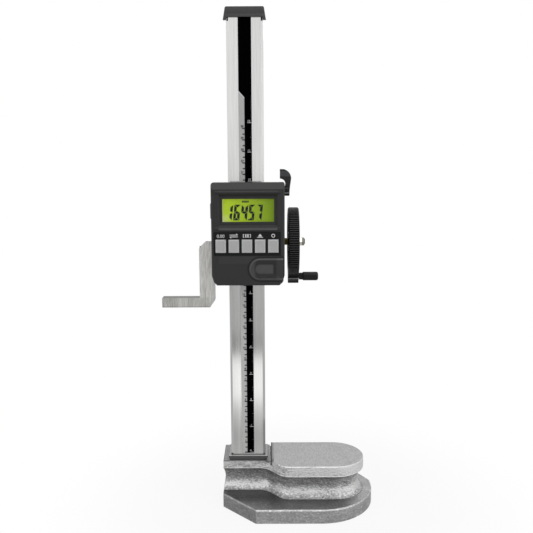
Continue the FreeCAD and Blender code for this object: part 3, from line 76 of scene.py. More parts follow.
class Signal:
    """A socket's output that can be used in sums and products."""

    def __init__(self, graph: "Graph", socket: Optional[bpy.types.NodeSocket]) -> None:
        """Wrap a socket of the graph."""
        self.graph = graph
        self.socket = socket

    def _math(self, operation: str, *values: Value) -> "Signal":
        """Add a Math node with these inputs in order."""
        inputs = {number: value for number, value in enumerate(values)}
        return self.graph.node("ShaderNodeMath", {"operation": operation}, inputs)

    def __add__(self, other: Value) -> "Signal":
        """Sum."""
        return self._math("ADD", self, other)

    __radd__ = __add__

    def __sub__(self, other: Value) -> "Signal":
        """Difference."""
        return self._math("SUBTRACT", self, other)

    def __rsub__(self, other: Value) -> "Signal":
        """Reflected difference."""
        return self._math("SUBTRACT", other, self)

    def __mul__(self, other: Value) -> "Signal":
        """Product."""
        return self._math("MULTIPLY", self, other)

    __rmul__ = __mul__

    def __truediv__(self, other: Value) -> "Signal":
        """Quotient."""
        return self._math("DIVIDE", self, other)

    def __pow__(self, other: Value) -> "Signal":
        """Power."""
        return self._math("POWER", self, other)

    def __abs__(self) -> "Signal":
        """Absolute value."""
        return self._math("ABSOLUTE", self)

    def angle(self, across: Value) -> "Signal":
        """Angle of a point this far up and that far across."""
        return self._math("ARCTAN2", self, across)

    def off_whole(self) -> "Signal":
        """Distance to the nearest whole number, for values above -200."""
        return abs(self._math("FRACT", self + WRAP) - 0.5)

    def lowest(self, other: Value) -> "Signal":
        """Smaller of the two."""
        return self._math("MINIMUM", self, other)

    def highest(self, other: Value) -> "Signal":
        """Larger of the two."""
        return self._math("MAXIMUM", self, other)

    def clamped(self) -> "Signal":
        """Held between 0 and 1."""
        return self.highest(0.0).lowest(1.0)

    def step(self, low: float, high: float) -> "Signal":
        """Smooth step.

        Args:
            low: Value at which the result is 0.
            high: Value at which it is 1.

        Returns:
            The step, from 0 to 1.
        """
        settings = {"interpolation_type": "SMOOTHSTEP"}
        inputs = {"Value": self, "From Min": low, "From Max": high}
        return self.graph.node("ShaderNodeMapRange", settings, inputs)

    def past(self, edge: float, soft: float) -> "Signal":
        """0 before an edge and 1 past it, fading by a soft width on each side."""
        return self.step(edge - soft, edge + soft)

    def within(self, low: float, high: float, soft: float) -> "Signal":
        """1 between two edges and 0 outside them, fading by a soft width on each side."""
        return self.past(low, soft) * (1.0 - self.past(high, soft))


class Graph:
    """Builder of one node tree."""

    def __init__(self, tree: bpy.types.NodeTree) -> None:
        """Start from an empty tree."""
        self.tree = tree
        tree.nodes.clear()

    def node(
        self,
        kind: str,
        settings: Optional[dict[str, Any]] = None,
        inputs: Optional[dict[Union[str, int], Any]] = None,
        output: Union[str, int] = 0,
    ) -> Signal:
        """Add a node.

        Args:
            kind: The node's type.
            settings: Its properties, and "stops" for the greys of a ramp; set before the sockets.
            inputs: Values or links by socket name or number.
            output: The output that is wanted.

        Returns:
            That output.
        """
        made = self.tree.nodes.new(kind)
        for name, value in (settings or {}).items():
            if name == "stops":
                ramp = made.color_ramp
                while len(ramp.elements) < len(value):
                    ramp.elements.new(0.5)
                for element, (place, tone) in zip(ramp.elements, value):
                    element.position = place
                    element.color = (tone, tone, tone, 1.0)
            else:
                setattr(made, name, value)
        for name, value in (inputs or {}).items():
            socket = made.inputs[name]
            if isinstance(value, Signal):
                self.tree.links.new(value.socket, socket)
            elif socket.type == "RGBA" and len(value) == 3:
                socket.default_value = (*value, 1.0)
            else:
                socket.default_value = value
        return Signal(self, made.outputs[output] if made.outputs else None)

    def spot(self, kind: str = "Object") -> Signal:
        """Texture coordinate of a kind; that of the object is its place in metres."""
        return self.node("ShaderNodeTexCoord", output=kind)

    def axes(self, kind: str = "Object") -> tuple[Signal, Signal, Signal]:
        """Three parts of a texture coordinate."""
        first = self.node("ShaderNodeSeparateXYZ", inputs={0: self.spot(kind)})
        return first, *(Signal(self, output) for output in first.socket.node.outputs[1:])

    def noise(
        self, scale: float, detail: float = 3.0, rough: float = 0.5, along: Triple = (1.0, 1.0, 1.0)
    ) -> Signal:
        """Fractal noise on the object.

        Args:
            scale: Waves in a metre.
            detail: Octaves.
            rough: Weight of each next octave.
            along: Factor of the scale along each axis.

        Returns:
            Noise about 0.5.
        """
        spot = self.node("ShaderNodeVectorMath", {"operation": "MULTIPLY"}, {0: self.spot(), 1: along})
        inputs = {"Vector": spot, "Scale": scale, "Detail": detail, "Roughness": rough}
        return self.node("ShaderNodeTexNoise", None, inputs)

    def ray(self, kind: str) -> Signal:
        """1 for rays of a kind, such as Camera or Glossy."""
        return self.node("ShaderNodeLightPath", output=f"Is {kind} Ray")

    def ramp(self, value: Signal, stops: Sequence[Point]) -> Signal:
        """Grey that follows a value, by the place and tone of each stop."""
        return self.node("ShaderNodeValToRGB", {"stops": stops}, {0: value})

    def profile(self, value: Signal, stops: Sequence[Point]) -> Signal:
        """Tone that follows a value, for tones that may pass 1."""
        peak = max(tone for _, tone in stops)
        return self.ramp(value, [(place, tone / peak) for place, tone in stops]) * peak

    def banded(self, level: Signal, bands: Sequence[Triple], soft: float, share: Value = 1.0) -> Value:
        """Tone of 1 that changes in level bands.

        Args:
            level: Height on the object.
            bands: Lower edge, upper edge and change of each band.
            soft: Width by which their edges fade.
            share: Where the bands are seen.

        Returns:
            The tone.
        """
        tone: Value = 1.0
        for low, high, change in bands:
            tone = tone + change * share * level.within(low, high, soft)
        return tone

    def blend(self, share: Value, first: Any, second: Any) -> Signal:
        """Colour between two colours or links, by the share of the second."""
        inputs = {0: share, 6: first, 7: second}
        return self.node("ShaderNodeMix", {"data_type": "RGBA"}, inputs, output=2)

    def tinted(self, colour: Any, strength: Value) -> Signal:
        """Colour made lighter or darker by a strength."""
        vector = self.node("ShaderNodeCombineXYZ", inputs={0: strength, 1: strength, 2: strength})
        return self.node("ShaderNodeVectorMath", {"operation": "MULTIPLY"}, {0: colour, 1: vector})

    def raised(self, height: Signal, depth: float, strength: float) -> Signal:
        """Normal bumped by a height from 0 to 1, its depth in metres and the effect's share."""
        inputs = {"Height": height, "Distance": depth, "Strength": strength}
        return self.node("ShaderNodeBump", None, inputs)


@dataclass(frozen=True)
class Finish:
    """A surface: its record slot, colour and shine; kinds add their own detail."""

    slot: str
    colour: Colour = (0.5, 0.5, 0.5)
    rough: float = 0.5
    metallic: float = 0.0
    glossy: float = 0.5
    streak: float = 0.0
    alpha: float = 1.0

    def shading(self, graph: Graph) -> Links:
        """Detail of a plain moulded surface.

        Args:
            graph: Graph to build it in.

        Returns:
            Links by socket name.
        """
        cloud = graph.noise(90.0)
        speck = graph.noise(1500.0, 2.0)
        return {
            "Base Color": graph.tinted(self.colour, 0.86 + 0.28 * cloud),
            "Roughness": self.rough - 0.06 + 0.12 * speck,
            "Normal": graph.raised(speck, 0.00003, 0.4),
        }

    def material(self, name: str) -> bpy.types.Material:
        """Make the material.

        Args:
            name: The material's name.

        Returns:
            The material.
        """
        made = bpy.data.materials.new(name)
        made.use_nodes = True
        graph = Graph(made.node_tree)
        shader: Links = {
            "Base Color": self.colour,
            "Metallic": self.metallic,
            "Roughness": self.rough,
            "Specular IOR Level": self.glossy,
            "Anisotropic": self.streak,
            "Alpha": self.alpha,
        }
        shader.update(self.shading(graph))
        whole = graph.node("ShaderNodeBsdfPrincipled", None, shader)
        graph.node("ShaderNodeOutputMaterial", None, {"Surface": whole})
        return made


@dataclass(frozen=True)
class GroundSteel(Finish):
    """Steel ground along its length: fine lines and faint patches, with painted shade on the flanks, on faces
    to the front, on faces that look up and at some levels.
    """

    along: Triple = (1.0, 1.0, 0.012)
    lines: float = 2600.0
    contrast: float = 1.0
    # The weights below paint shade: on the flanks low down, on faces to the front, on faces that look up, and
    # in level stripes.
    edge: float = 0.0
    edge_fade: Point = (0.24, 0.36)
    front: float = 0.0
    crown: float = 0.0
    bands: tuple[Triple, ...] = ()

    def shading(self, graph: Graph) -> Links:
        """Ground lines with painted shade.

        Args:
            graph: Graph to build it in.

        Returns:
            Links by socket name.
        """
        fine = graph.noise(self.lines, 4.0, 0.7, self.along)
        broad = graph.noise(self.lines * 0.11, 3.0, 0.6, self.along)
        patch = graph.noise(22.0, 2.0)
        nx, ny, nz = graph.axes("Normal")
        z = graph.axes()[2]
        # Painted shade on the flanks, on faces to the front, on faces that look up and at some levels.
        flank = abs(nx).step(0.1, 0.5) * (1.0 - z.step(*self.edge_fade))
        shade = (1.0 - self.edge * flank) * (1.0 - self.front * (0.0 - ny).step(0.7, 0.9))
        shade = shade * (1.0 - self.crown * nz.step(0.5, 0.9)) * graph.banded(z, self.bands, 0.0003)
        wave = self.contrast * (0.42 * (fine - 0.5) + 0.34 * (broad - 0.5))
        return {
            "Base Color": graph.tinted(self.colour, (0.98 + wave + 0.06 * patch) * shade),
            "Roughness": (self.rough - 0.1 + 0.14 * broad + 0.08 * fine).clamped(),
            "Normal": graph.raised(fine, 0.000012, 0.5),
        }


@dataclass(frozen=True)
class CastIron(Finish):
    """Silver-painted casting with a coarse skin and ground faces on top, with painted light and shade on each
    part: swept down the coves, and on the rims, flange, sides and groove.
    """

    height: float = 0.045
    ground_level: float = 0.0424
    rim_level: float = 0.0352
    flange_level: float = 0.0131
    flange_tops: Point = (0.02, 0.024)
    # These places hold painted light and shade: the flange top lit at the front, the left and the right end,
    # the block and the apron before the collar shaded, the waist and the groove shaded, and glints on the
    # rims.
    lit_front: Point = (-0.053, -0.026)
    lit_left: Point = (-0.02, 0.05)
    lit_end: Point = (0.083, 0.1)
    block_end: float = 0.024
    apron_back: float = -0.015
    waist: Point = (0.018, 0.027)
    groove: Point = (0.0206, 0.0224)
    groove_level: float = 0.0405
    cove_rise: Point = (0.012, 0.02)
    rim_glint: Point = (0.03, 0.045)
    end_glint: Point = (0.086, 0.097)
    # Painted light and shade down the cove, by height over the casting's height: dark under the rim and
    # brightest in its lower half.
    cove: tuple[Point, ...] = (
        (0.28, 0.8), (0.31, 0.65), (0.345, 0.95), (0.375, 1.25), (0.41, 1.7), (0.46, 1.7), (0.5, 1.15),
        (0.545, 0.85), (0.58, 0.8), (0.625, 0.9), (0.67, 0.85), (0.715, 0.8), (0.76, 0.7), (0.79, 0.9),
    )

    def zones(self, graph: Graph) -> tuple[Signal, Signal, Signal]:
        """Painted light and shade on each part of the casting.

        Args:
            graph: Graph to build it in.

        Returns:
            The painted tone, the share of cast skin and the mask of the ground tops.
        """
        x, y, z = graph.axes()
        nx, _, nz = graph.axes("Normal")
        level = nz.step(0.9, 0.98)
        top = level * z.step(self.ground_level - 0.0002, self.ground_level)
        flange = level * (1.0 - z.step(*self.flange_tops))
        rim = z.step(self.rim_level - 0.0004, self.rim_level) * (1.0 - top)
        cove = z.within(self.flange_level, self.rim_level, 0.0004) * (1.0 - flange)
        side = (1.0 - z.step(self.flange_level - 0.0004, self.flange_level)) * (1.0 - flange)
        # Painted light on the flange top at the front, the left and the right end.
        front = 1.0 - y.step(*self.lit_front)
        left = 1.0 - x.step(*self.lit_left)
        end = x.step(*self.lit_end)
        # Painted shade on the block's ground top, deepest on the apron in front of the collar.
        block = 1.0 - x.past(self.block_end, 0.0005)
        apron = block * (1.0 - y.past(self.apron_back, 0.0005))
        # Painted shade across the waist of the cove.
        waist = x.within(*self.waist, 0.003)
        # Painted shade in the groove beside the ground pad.
        groove = x.within(*self.groove, 0.0002) * z.past(self.groove_level, 0.0003)
        # Height that the painted cove light follows, raised at the waist and to the left.
        swept = (z + 0.0015 * (1.0 - x.step(*self.cove_rise)) + 0.003 * waist) / self.height
        # Painted highlights along the rim to the right and at the end; painted shade on the block's rim
        # bevel.
        glints = 0.5 * x.step(*self.rim_glint) + 0.6 * x.step(*self.end_glint)
        tone = (
            top * (0.66 - 0.22 * block - 0.2 * apron)
            + flange * (0.19 + front * (0.26 + 0.5 * left) + 0.4 * end)
            + rim * (1.4 + glints - 1.1 * block * nz.within(0.3, 0.9, 0.05))
            + cove * graph.profile(swept, self.cove) * (1.0 - 0.35 * waist + 0.4 * end)
            # Painted shade on sides that face left; painted highlight on their bevels.
            + side * (0.86 - 0.3 * (0.0 - nx).step(0.3, 0.6) + 0.3 * nz.within(0.5, 0.85, 0.1))
        )
        skin = 1.2 * cove + 0.95 * rim + 0.65 * side + 0.5 * flange
        # The groove's painted shade is applied here.
        return tone * (1.0 - 0.85 * groove), skin, top

    def shading(self, graph: Graph) -> Links:
        """Coarse cast skin, grain and ground tops, over the painted light and shade of each part.

        Args:
            graph: Graph to build it in.

        Returns:
            Links by socket name.
        """
        tone, skin, top = self.zones(graph)
        lumps = graph.noise(620.0, 3.0, 0.6, (0.75, 0.75, 1.25))
        waves = graph.noise(190.0, 2.0, along=(0.6, 0.6, 1.7))
        grain = graph.noise(2600.0, 3.0, 0.7)
        swirl = graph.noise(900.0, 4.0, 0.75, (1.0, 0.35, 1.0))
        coarse = 1.3 * (lumps - 0.5) + 0.55 * lumps.step(0.52, 0.72) + 1.1 * (waves - 0.5)
        cast = 0.92 + skin * coarse + 0.3 * (grain - 0.5)
        ground = 1.0 + 1.3 * (swirl - 0.5) + 0.9 * (grain - 0.5)
        tone = tone * (cast * (1.0 - top) + ground * top)
        height = skin * (lumps + 0.6 * waves) * (1.0 - top) + 0.05 * swirl * top
        return {
            "Base Color": graph.tinted(self.colour, tone.highest(0.01).lowest(1.6)),
            "Roughness": (self.rough + 0.2 * (grain - 0.5) + 0.12 * top).clamped(),
            "Normal": graph.raised(height, 0.0011, 0.8),
        }


@dataclass(frozen=True)
class Moulding(Finish):
    """Spark-textured plastic or paint; kinds add painted light and shade by place."""

    grain: float = 2100.0
    depth: float = 0.00006

    def worn(self, graph: Graph) -> Value:
        """Tone of the painted light and shade, 1 where there is none."""
        return 1.0

    def shading(self, graph: Graph) -> Links:
        """Fine spark texture with the painted light and shade of its kind.

        Args:
            graph: Graph to build it in.

        Returns:
            Links by socket name.
        """
        speck = graph.noise(self.grain, 3.0, 0.7)
        cloud = graph.noise(60.0, 2.0)
        tone = (0.7 + 0.4 * speck + 0.2 * cloud) * self.worn(graph)
        return {
            "Base Color": graph.tinted(self.colour, tone),
            "Roughness": (self.rough - 0.1 + 0.2 * speck).clamped(),
            "Normal": graph.raised(speck, self.depth, 0.6),
        }


@dataclass(frozen=True)
class Housing(Moulding):
    """Display housing: painted highlights and shade on the ridges above and below the display."""

    span: Point = (-0.0235, 0.0275)
    # Painted highlights and shade by level: lower edge, upper edge and change of tone.
    bands: tuple[Triple, ...] = (
        (0.2946, 0.2964, 0.5),
        (0.2904, 0.2938, -0.35),
        (0.2648, 0.2684, 0.1),
        (0.2618, 0.2638, 3.6),
        (0.2598, 0.2612, -0.85),
        (0.2325, 0.239, 0.45),
    )

    def worn(self, graph: Graph) -> Value:
        """Tone of the painted highlights and shade at set levels across the case."""
        x, _, z = graph.axes()
        return graph.banded(z, self.bands, 0.0004, x.within(*self.span, 0.0006))


@dataclass(frozen=True)
class Tongue(Moulding):
    """Thumb cover: painted highlights on the rim and floor, painted shade on the slopes of the dish."""

    middle: float = 0.22755
    turn_point: float = 0.01255
    dish_end: float = 0.0234
    rim: Point = (0.0081, 0.0098)
    floor: Point = (0.0033, 0.0047)
    slope: Point = (0.0042, 0.008)
    slope_left: Point = (0.006, 0.0095)
    outline: Point = (0.0097, 0.0101)
    cover_end: Point = (0.0262, 0.0272)

    def worn(self, graph: Graph) -> Value:
        """Painted light and shade by the distance from the dish's middle line.

        Args:
            graph: Graph to build it in.

        Returns:
            The painted tone.
        """
        x, _, z = graph.axes()
        away = ((x - self.turn_point).lowest(0.0) ** 2.0 + (z - self.middle) ** 2.0) ** 0.5
        past_dish = x.step(self.dish_end - 0.0002, self.dish_end + 0.0012)
        # Painted highlights on the floor, the rim, the left slope and the right end; painted shade on the
        # other slopes and past the outline.
        floor = (1.0 - away.step(*self.floor)) * (1.0 - past_dish)
        left = (1.0 - x.step(*self.slope_left)) * away.within(*self.slope, 0.0004)
        outer = away.step(*self.outline)
        end = x.step(*self.cover_end) * (1.0 - outer)
        rim = away.within(*self.rim, 0.0003)
        return 0.5 + 3.0 * floor + 3.6 * rim + 2.2 * left + end - 0.4 * outer


@dataclass(frozen=True)
class Ribbed(Moulding):
    """Moulding whose ribbed rim has painted highlights on the crests and painted shade between them."""

    axle: Point = (0.0175, 0.2463)
    ribs: int = 96
    inner: float = 0.0305
    glint: Point = (0.2114, 0.2124)
    # Levels of painted shade at the top and at the foot.
    dark_top: Point = (0.274, 0.279)
    dark_foot: Point = (0.2128, 0.2172)

    def worn(self, graph: Graph) -> Value:
        """Tone of the painted highlights on the crests, painted shade at the top and the foot, and a painted
        glint at the lug.

        Args:
            graph: Graph to build it in.

        Returns:
            The painted tone.
        """
        _, y, z = graph.axes()
        across, up = y - self.axle[0], z - self.axle[1]
        # Painted highlights on the crests and painted shade between them.
        crest = (up.angle(across) * (self.ribs / math.tau)).off_whole().step(0.24, 0.4)
        outer = ((across ** 2.0 + up ** 2.0) ** 0.5).step(self.inner - 0.0003, self.inner)
        forward = (0.0 - graph.axes("Normal")[1]).step(0.2, 0.5)
        # Painted shade at the top and at the foot; painted glint at the lug.
        shade = 1.0 - 0.75 * z.step(*self.dark_top).highest(z.within(*self.dark_foot, 0.0004))
        glint = 17.0 * z.within(*self.glint, 0.0003) * forward
        return (1.0 + outer * (5.0 * crest - 0.85)) * shade + glint


@dataclass(frozen=True)
class Lacquered(Moulding):
    """Moulding or lacquer with painted highlights and shade at set levels."""

    # Painted highlights and shade by level: lower edge, upper edge and change of tone.
    bands: tuple[Triple, ...] = (
        (0.2938, 0.2988, -0.9),
        (0.2921, 0.2932, 13.0),
        (0.2896, 0.2914, -0.85),
        (0.3075, 0.3125, 2.4),
    )

    def worn(self, graph: Graph) -> Value:
        """Tone of the painted highlights and shade at set levels."""
        return graph.banded(graph.axes()[2], self.bands, 0.0003)


@dataclass(frozen=True)
class Rubber(Finish):
    """Soft key tops in a row, each with a painted highlight at its rim."""

    centre: Point = (0.0011, 0.24795)
    half: Point = (0.0035, 0.0046)
    pitch: float = 0.01145

    def shading(self, graph: Graph) -> Links:
        """Matt top with a painted highlight at the rim.

        Args:
            graph: Graph to build it in.

        Returns:
            Links by socket name.
        """
        x, _, z = graph.axes()
        across = ((x - self.centre[0]) / self.pitch).off_whole() * self.pitch
        up = abs(z - self.centre[1])
        # Painted highlight along each key's rim.
        rim = across.step(self.half[0] - 0.0004, self.half[0] + 0.0006)
        rim = rim.highest(up.step(self.half[1] - 0.0003, self.half[1] + 0.0007))
        speck = graph.noise(1700.0, 3.0, 0.6)
        return {
            "Base Color": graph.tinted(self.colour, 0.86 + 0.2 * speck + 0.24 * rim),
            "Roughness": self.rough - 0.05 + 0.1 * speck,
            "Normal": graph.raised(speck, 0.00003, 0.5),
        }


@dataclass(frozen=True)
class LiquidCrystal(Finish):
    """Display with a painted glow: yellow-green at the left, deeper green at the right, with a painted
    highlight at the lower-left corner and the left edge.
    """

    right: Colour = (0.15, 0.245, 0.0)
    # The pale colour is that of the painted highlight at the lower-left corner and the left edge.
    pale: Colour = (0.62, 0.66, 0.3)
    span: Point = (-0.0202, 0.0248)
    bottom: float = 0.2689
    corner: float = 0.009
    margin: float = 0.0016
    # Strength of the painted glow.
    glow: float = 0.38

    def shading(self, graph: Graph) -> Links:
        """Painted glow, uneven from left to right, with its painted highlight.

        Args:
            graph: Graph to build it in.

        Returns:
            Links by socket name.
        """
        x, _, z = graph.axes()
        start, end = self.span
        cloud = graph.noise(120.0, 2.0)
        share = ((x - start) / (end - start) + 0.3 * (cloud - 0.5)).clamped()
        ground = graph.blend(share, self.colour, self.right)
        # Painted highlight at the lower-left corner and along the left edge.
        low = 1.0 - z.step(self.bottom, self.bottom + self.corner)
        corner = (1.0 - x.step(start, start + self.corner)) * low
        edge = 0.5 * (1.0 - x.step(start, start + self.margin))
        lit = graph.blend((corner * 0.6 + edge).clamped(), ground, self.pale)
        # The same colour is also emitted as a painted glow.
        return {"Base Color": lit, "Emission Color": lit, "Emission Strength": self.glow}


@dataclass(frozen=True)
class Print(Finish):
    """Screen-printed ink."""

    def shading(self, graph: Graph) -> Links:
        """Slightly uneven ink."""
        speck = graph.noise(3000.0, 2.0)
        return {
            "Base Color": graph.tinted(self.colour, 0.85 + 0.3 * speck),
            "Roughness": self.rough - 0.04 + 0.08 * speck,
        }


@dataclass(frozen=True)
class SatinStrip(Finish):
    """Satin silver face of the graduated strip, a little darker above."""

    darker: Point = (0.3, 0.36)

    def shading(self, graph: Graph) -> Links:
        """Speckled satin.

        Args:
            graph: Graph to build it in.

        Returns:
            Links by socket name.
        """
        speck = graph.noise(2200.0, 3.0, 0.8)
        shade = graph.axes()[2].step(*self.darker) * 0.16
        return {
            "Base Color": graph.tinted(self.colour, 0.72 + 0.5 * speck - shade),
            "Roughness": self.rough - 0.05 + 0.1 * speck,
            "Normal": graph.raised(speck, 0.00002, 0.4),
        }


@dataclass(frozen=True)
class Plated(Finish):
    """Bright plating with painted shade on the nut, deepest on the nut's upper slopes."""

    nut_start: float = 0.051

    def shading(self, graph: Graph) -> Links:
        """Cloudy plating and the painted shade on the nut.

        Args:
            graph: Graph to build it in.

        Returns:
            Links by socket name.
        """
        cloud = graph.noise(600.0, 3.0)
        upper = graph.axes("Normal")[2].within(0.1, 0.8, 0.05)
        nut = graph.axes()[0].past(self.nut_start, 0.0003)
        # Painted shade on the nut, deepest on its upper slopes.
        tone = (1.35 - nut * (0.85 + 0.25 * upper)) * (0.75 + 0.5 * cloud)
        return {
            "Base Color": graph.tinted(self.colour, tone),
            "Roughness": (self.rough - 0.05 + 0.1 * cloud).clamped(),
        }


@dataclass(frozen=True)
class TurnedMetal(Finish):
    """Metal turned about X, with fine rings and a faint cloud."""

    rings: float = 5200.0

    def shading(self, graph: Graph) -> Links:
        """Turning marks along X.

        Args:
            graph: Graph to build it in.

        Returns:
            Links by socket name.
        """
        marks = graph.noise(self.rings, 2.0, along=(1.0, 0.06, 0.06))
        cloud = graph.noise(420.0, 3.0)
        return {
            "Base Color": graph.tinted(self.colour, 0.7 + 0.3 * marks + 0.3 * cloud),
            "Roughness": (self.rough - 0.1 + 0.2 * cloud).clamped(),
            "Normal": graph.raised(marks, 0.00002, 0.5),
        }


class Surface(Enum):
    """Finishes of the gauge."""

    # The kinds below paint light and shade: the casting's zones, the steels' flanks, fronts, tops and levels,
    # the case, cap and lever by level, the cover's dish, the wheel's ribs, the keys' rims, the nut and the
    # display's glow.
    IRON = CastIron("cast_iron_grey", (0.58, 0.58, 0.58), rough=0.34, metallic=0.75)
    STEEL = GroundSteel("ground_steel", (0.88, 0.88, 0.87), rough=0.17, metallic=1.0, streak=0.85, edge=0.18)
    JAW_STEEL = GroundSteel(
        "ground_steel", (0.7, 0.695, 0.665), rough=0.36, metallic=1.0, along=(1.0, 1.0, 0.09), lines=900.0,
        crown=0.85, contrast=3.8, bands=((0.18, 0.1972, -0.1), (0.18, 0.1891, -0.198)),
    )
    COLLAR = GroundSteel(
        "ground_steel", (0.46, 0.46, 0.46), rough=0.36, metallic=1.0, along=(0.05, 1.0, 1.0), front=0.7,
        crown=0.45,
    )
    SILVER = SatinStrip("scale_print", (0.66, 0.66, 0.65), rough=0.42, metallic=0.3)
    INK_BLACK = Print("scale_print", (0.0012, 0.001, 0.0015), rough=0.5, glossy=0.0)
    INK_WHITE = Print("scale_print", (0.86, 0.86, 0.86), rough=0.45)
    GEAR = TurnedMetal("gear_steel", (0.42, 0.42, 0.43), rough=0.35, metallic=1.0)
    CASE = Housing("case_plastic", (0.0205, 0.0205, 0.0207), rough=0.42)
    CAP = Lacquered(
        "cap_plastic", (0.0385, 0.0385, 0.0385), rough=0.45,
        bands=((0.4438, 0.4452, 0.3), (0.4455, 0.4478, -0.22), (0.4492, 0.4525, 0.2)),
    )
    PANEL = Moulding("panel_plastic", (0.005, 0.005, 0.0055), rough=0.3, glossy=0.3, depth=0.00002)
    FRAME = Moulding("frame_paint", (0.016, 0.0165, 0.017), rough=0.42)
    KEY = Rubber("key_rubber", (0.53, 0.53, 0.53), rough=0.55)
    COVER = Tongue("case_plastic", (0.0195, 0.0195, 0.0197), rough=0.42)
    WHEEL = Ribbed("wheel_plastic", (0.0145, 0.0145, 0.0147), rough=0.42, glossy=0.12, depth=0.00004)
    GRIP = Moulding("wheel_plastic", (0.007, 0.007, 0.0075), rough=0.36, glossy=0.3, depth=0.00003)
    LEVER = Lacquered("wheel_plastic", (0.0185, 0.0185, 0.0197), rough=0.3, glossy=0.35, depth=0.00003)
    CHROME = Plated("bright_nut", (0.7, 0.68, 0.6), rough=0.14, metallic=1.0)
    SHAFT = TurnedMetal("gear_steel", (0.055, 0.045, 0.012), rough=0.2, metallic=1.0)
    SCREW = TurnedMetal("black_screw", (0.03, 0.03, 0.032), rough=0.4, metallic=0.8)
    BRASS = TurnedMetal("bush_brass", (0.55, 0.4, 0.14), rough=0.32, metallic=1.0)
    WINDOW = Finish("clear_window", (0.85, 0.88, 0.88), rough=0.08, alpha=0.02, glossy=0.1)
    LCD = LiquidCrystal("lcd_green", (0.415, 0.58, 0.014), rough=0.4, glossy=0.1)
    INK_LCD = Print("lcd_green", (0.002, 0.004, 0.006), rough=0.4, glossy=0.0)
    BOARD = Moulding("board_green", (0.02, 0.16, 0.06), rough=0.4)
    CELL = TurnedMetal("cell_steel", (0.7, 0.7, 0.7), rough=0.25, metallic=1.0)


Coats = dict[Surface, tuple[str, ...]]


class Finishes:
    """Materials that have been made, one for each finish."""

    def __init__(self) -> None:
        """Start with none."""
        self.made: dict[Surface, bpy.types.Material] = {}

    def get(self, surface: Surface) -> bpy.types.Material:
        """Material of a finish, made at its first use."""
        if surface not in self.made:
            self.made[surface] = surface.value.material(surface.name.lower())
        return self.made[surface]

    def dress(self, piece: bpy.types.Object, surface: Surface) -> None:
        """Give a piece its finish."""
        piece.data.materials.clear()
        piece.data.materials.append(self.get(surface))


def added(name: str, data: bpy.types.ID) -> bpy.types.Object:
    """Make an object and link it to the scene.

    Args:
        name: The object's name.
        data: Its mesh, text, lamp or camera.

    Returns:
        The object.
    """
    made = bpy.data.objects.new(name, data)
    bpy.context.scene.collection.objects.link(made)
    return made


class Relief:
    """Mesh of thin printed or raised shapes that face the reader."""

    def __init__(self, near: float, far: float) -> None:
        """Start an empty mesh.

        Args:
            near: Level of the shapes' front along Y, in metres.
            far: Level of their back.
        """
        self.near = near
        self.far = far
        self.mesh = bmesh.new()

    def shape(self, points: Sequence[Point]) -> None:
        """Add a flat shape.

        Args:
            points: Its corners across and up, in millimetres.
        """
        front = [self.mesh.verts.new((x * MM, self.near, z * MM)) for x, z in points]
        back = [self.mesh.verts.new((x * MM, self.far, z * MM)) for x, z in points]
        self.mesh.faces.new(front)
        self.mesh.faces.new(list(reversed(back)))
        for number in range(len(points)):
            after = (number + 1) % len(points)
            self.mesh.faces.new((front[after], front[number], back[number], back[after]))

    def bar(self, left: float, right: float, low: float, high: float) -> None:
        """Add a rectangle, in millimetres."""
        self.shape([(left, low), (right, low), (right, high), (left, high)])

    def stroke(self, start: Point, end: Point, width: float) -> None:
        """Add a straight stroke with square ends.

        Args:
            start: One end, in millimetres.
            end: The other end.
            width: The stroke's width.
        """
        run = Vector((end[0] - start[0], end[1] - start[1])).normalized()
        side = Vector((-run.y, run.x)) * width / 2.0
        corners = ((start, side), (start, -side), (end, -side), (end, side))
        self.shape([(point[0] + aside.x, point[1] + aside.y) for point, aside in corners])

    def ring(self, centre: Point, radius: float, width: float, count: int = 30) -> None:
        """Add a ring.

        Args:
            centre: Its centre, in millimetres.
            radius: Radius of its middle line.
            width: The stroke's width.
            count: How many straight pieces it is made of.
        """
        for number in range(count):
            turns = [math.radians(360.0 * (number + part) / count) for part in (0, 1)]
            inner, outer = (
                [(centre[0] + reach * math.cos(turn), centre[1] + reach * math.sin(turn)) for turn in turns]
                for reach in (radius - width / 2, radius + width / 2)
            )
            self.shape([inner[0], outer[0], outer[1], inner[1]])

    def words(
        self, text: str, across: float, up: float, height: float, align: str = "CENTER", bold: float = 0.0
    ) -> None:
        """Add a plain number.

        Args:
            text: The number.
            across: Its reference point, in millimetres.
            up: Its foot, in millimetres.
            height: Height of a digit, in millimetres.
            align: Which side the reference point is on.
            bold: How far the digits' outlines are widened, in millimetres.
        """
        curve = bpy.data.curves.new("number", "FONT")
        curve.body = text
        curve.offset = bold
        curve.align_x = align
        curve.size = height * FONT_SIZE
        holder = added("number", curve)
        flat = bpy.data.meshes.new_from_object(holder.evaluated_get(bpy.context.evaluated_depsgraph_get()))
        bpy.data.objects.remove(holder)
        bpy.data.curves.remove(curve)
        upright = Matrix.Translation((across * MM, self.near, up * MM)) @ Matrix.Rotation(math.pi / 2, 4, "X")
        flat.transform(upright @ Matrix.Scale(MM, 4))
        self.mesh.from_mesh(flat)
        bpy.data.meshes.remove(flat)

    def piece(self, name: str, body: str, surface: Surface, finishes: Finishes) -> bpy.types.Object:
        """Finish the mesh as a piece.

        Args:
            name: The piece's name.
            body: Body that it rides on.
            surface: Its finish.
            finishes: Materials to take it from.

        Returns:
            The piece.
        """
        data = bpy.data.meshes.new(name)
        self.mesh.to_mesh(data)
        self.mesh.free()
        made = added(name, data)
        finishes.dress(made, surface)
        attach(made, body)
        return made


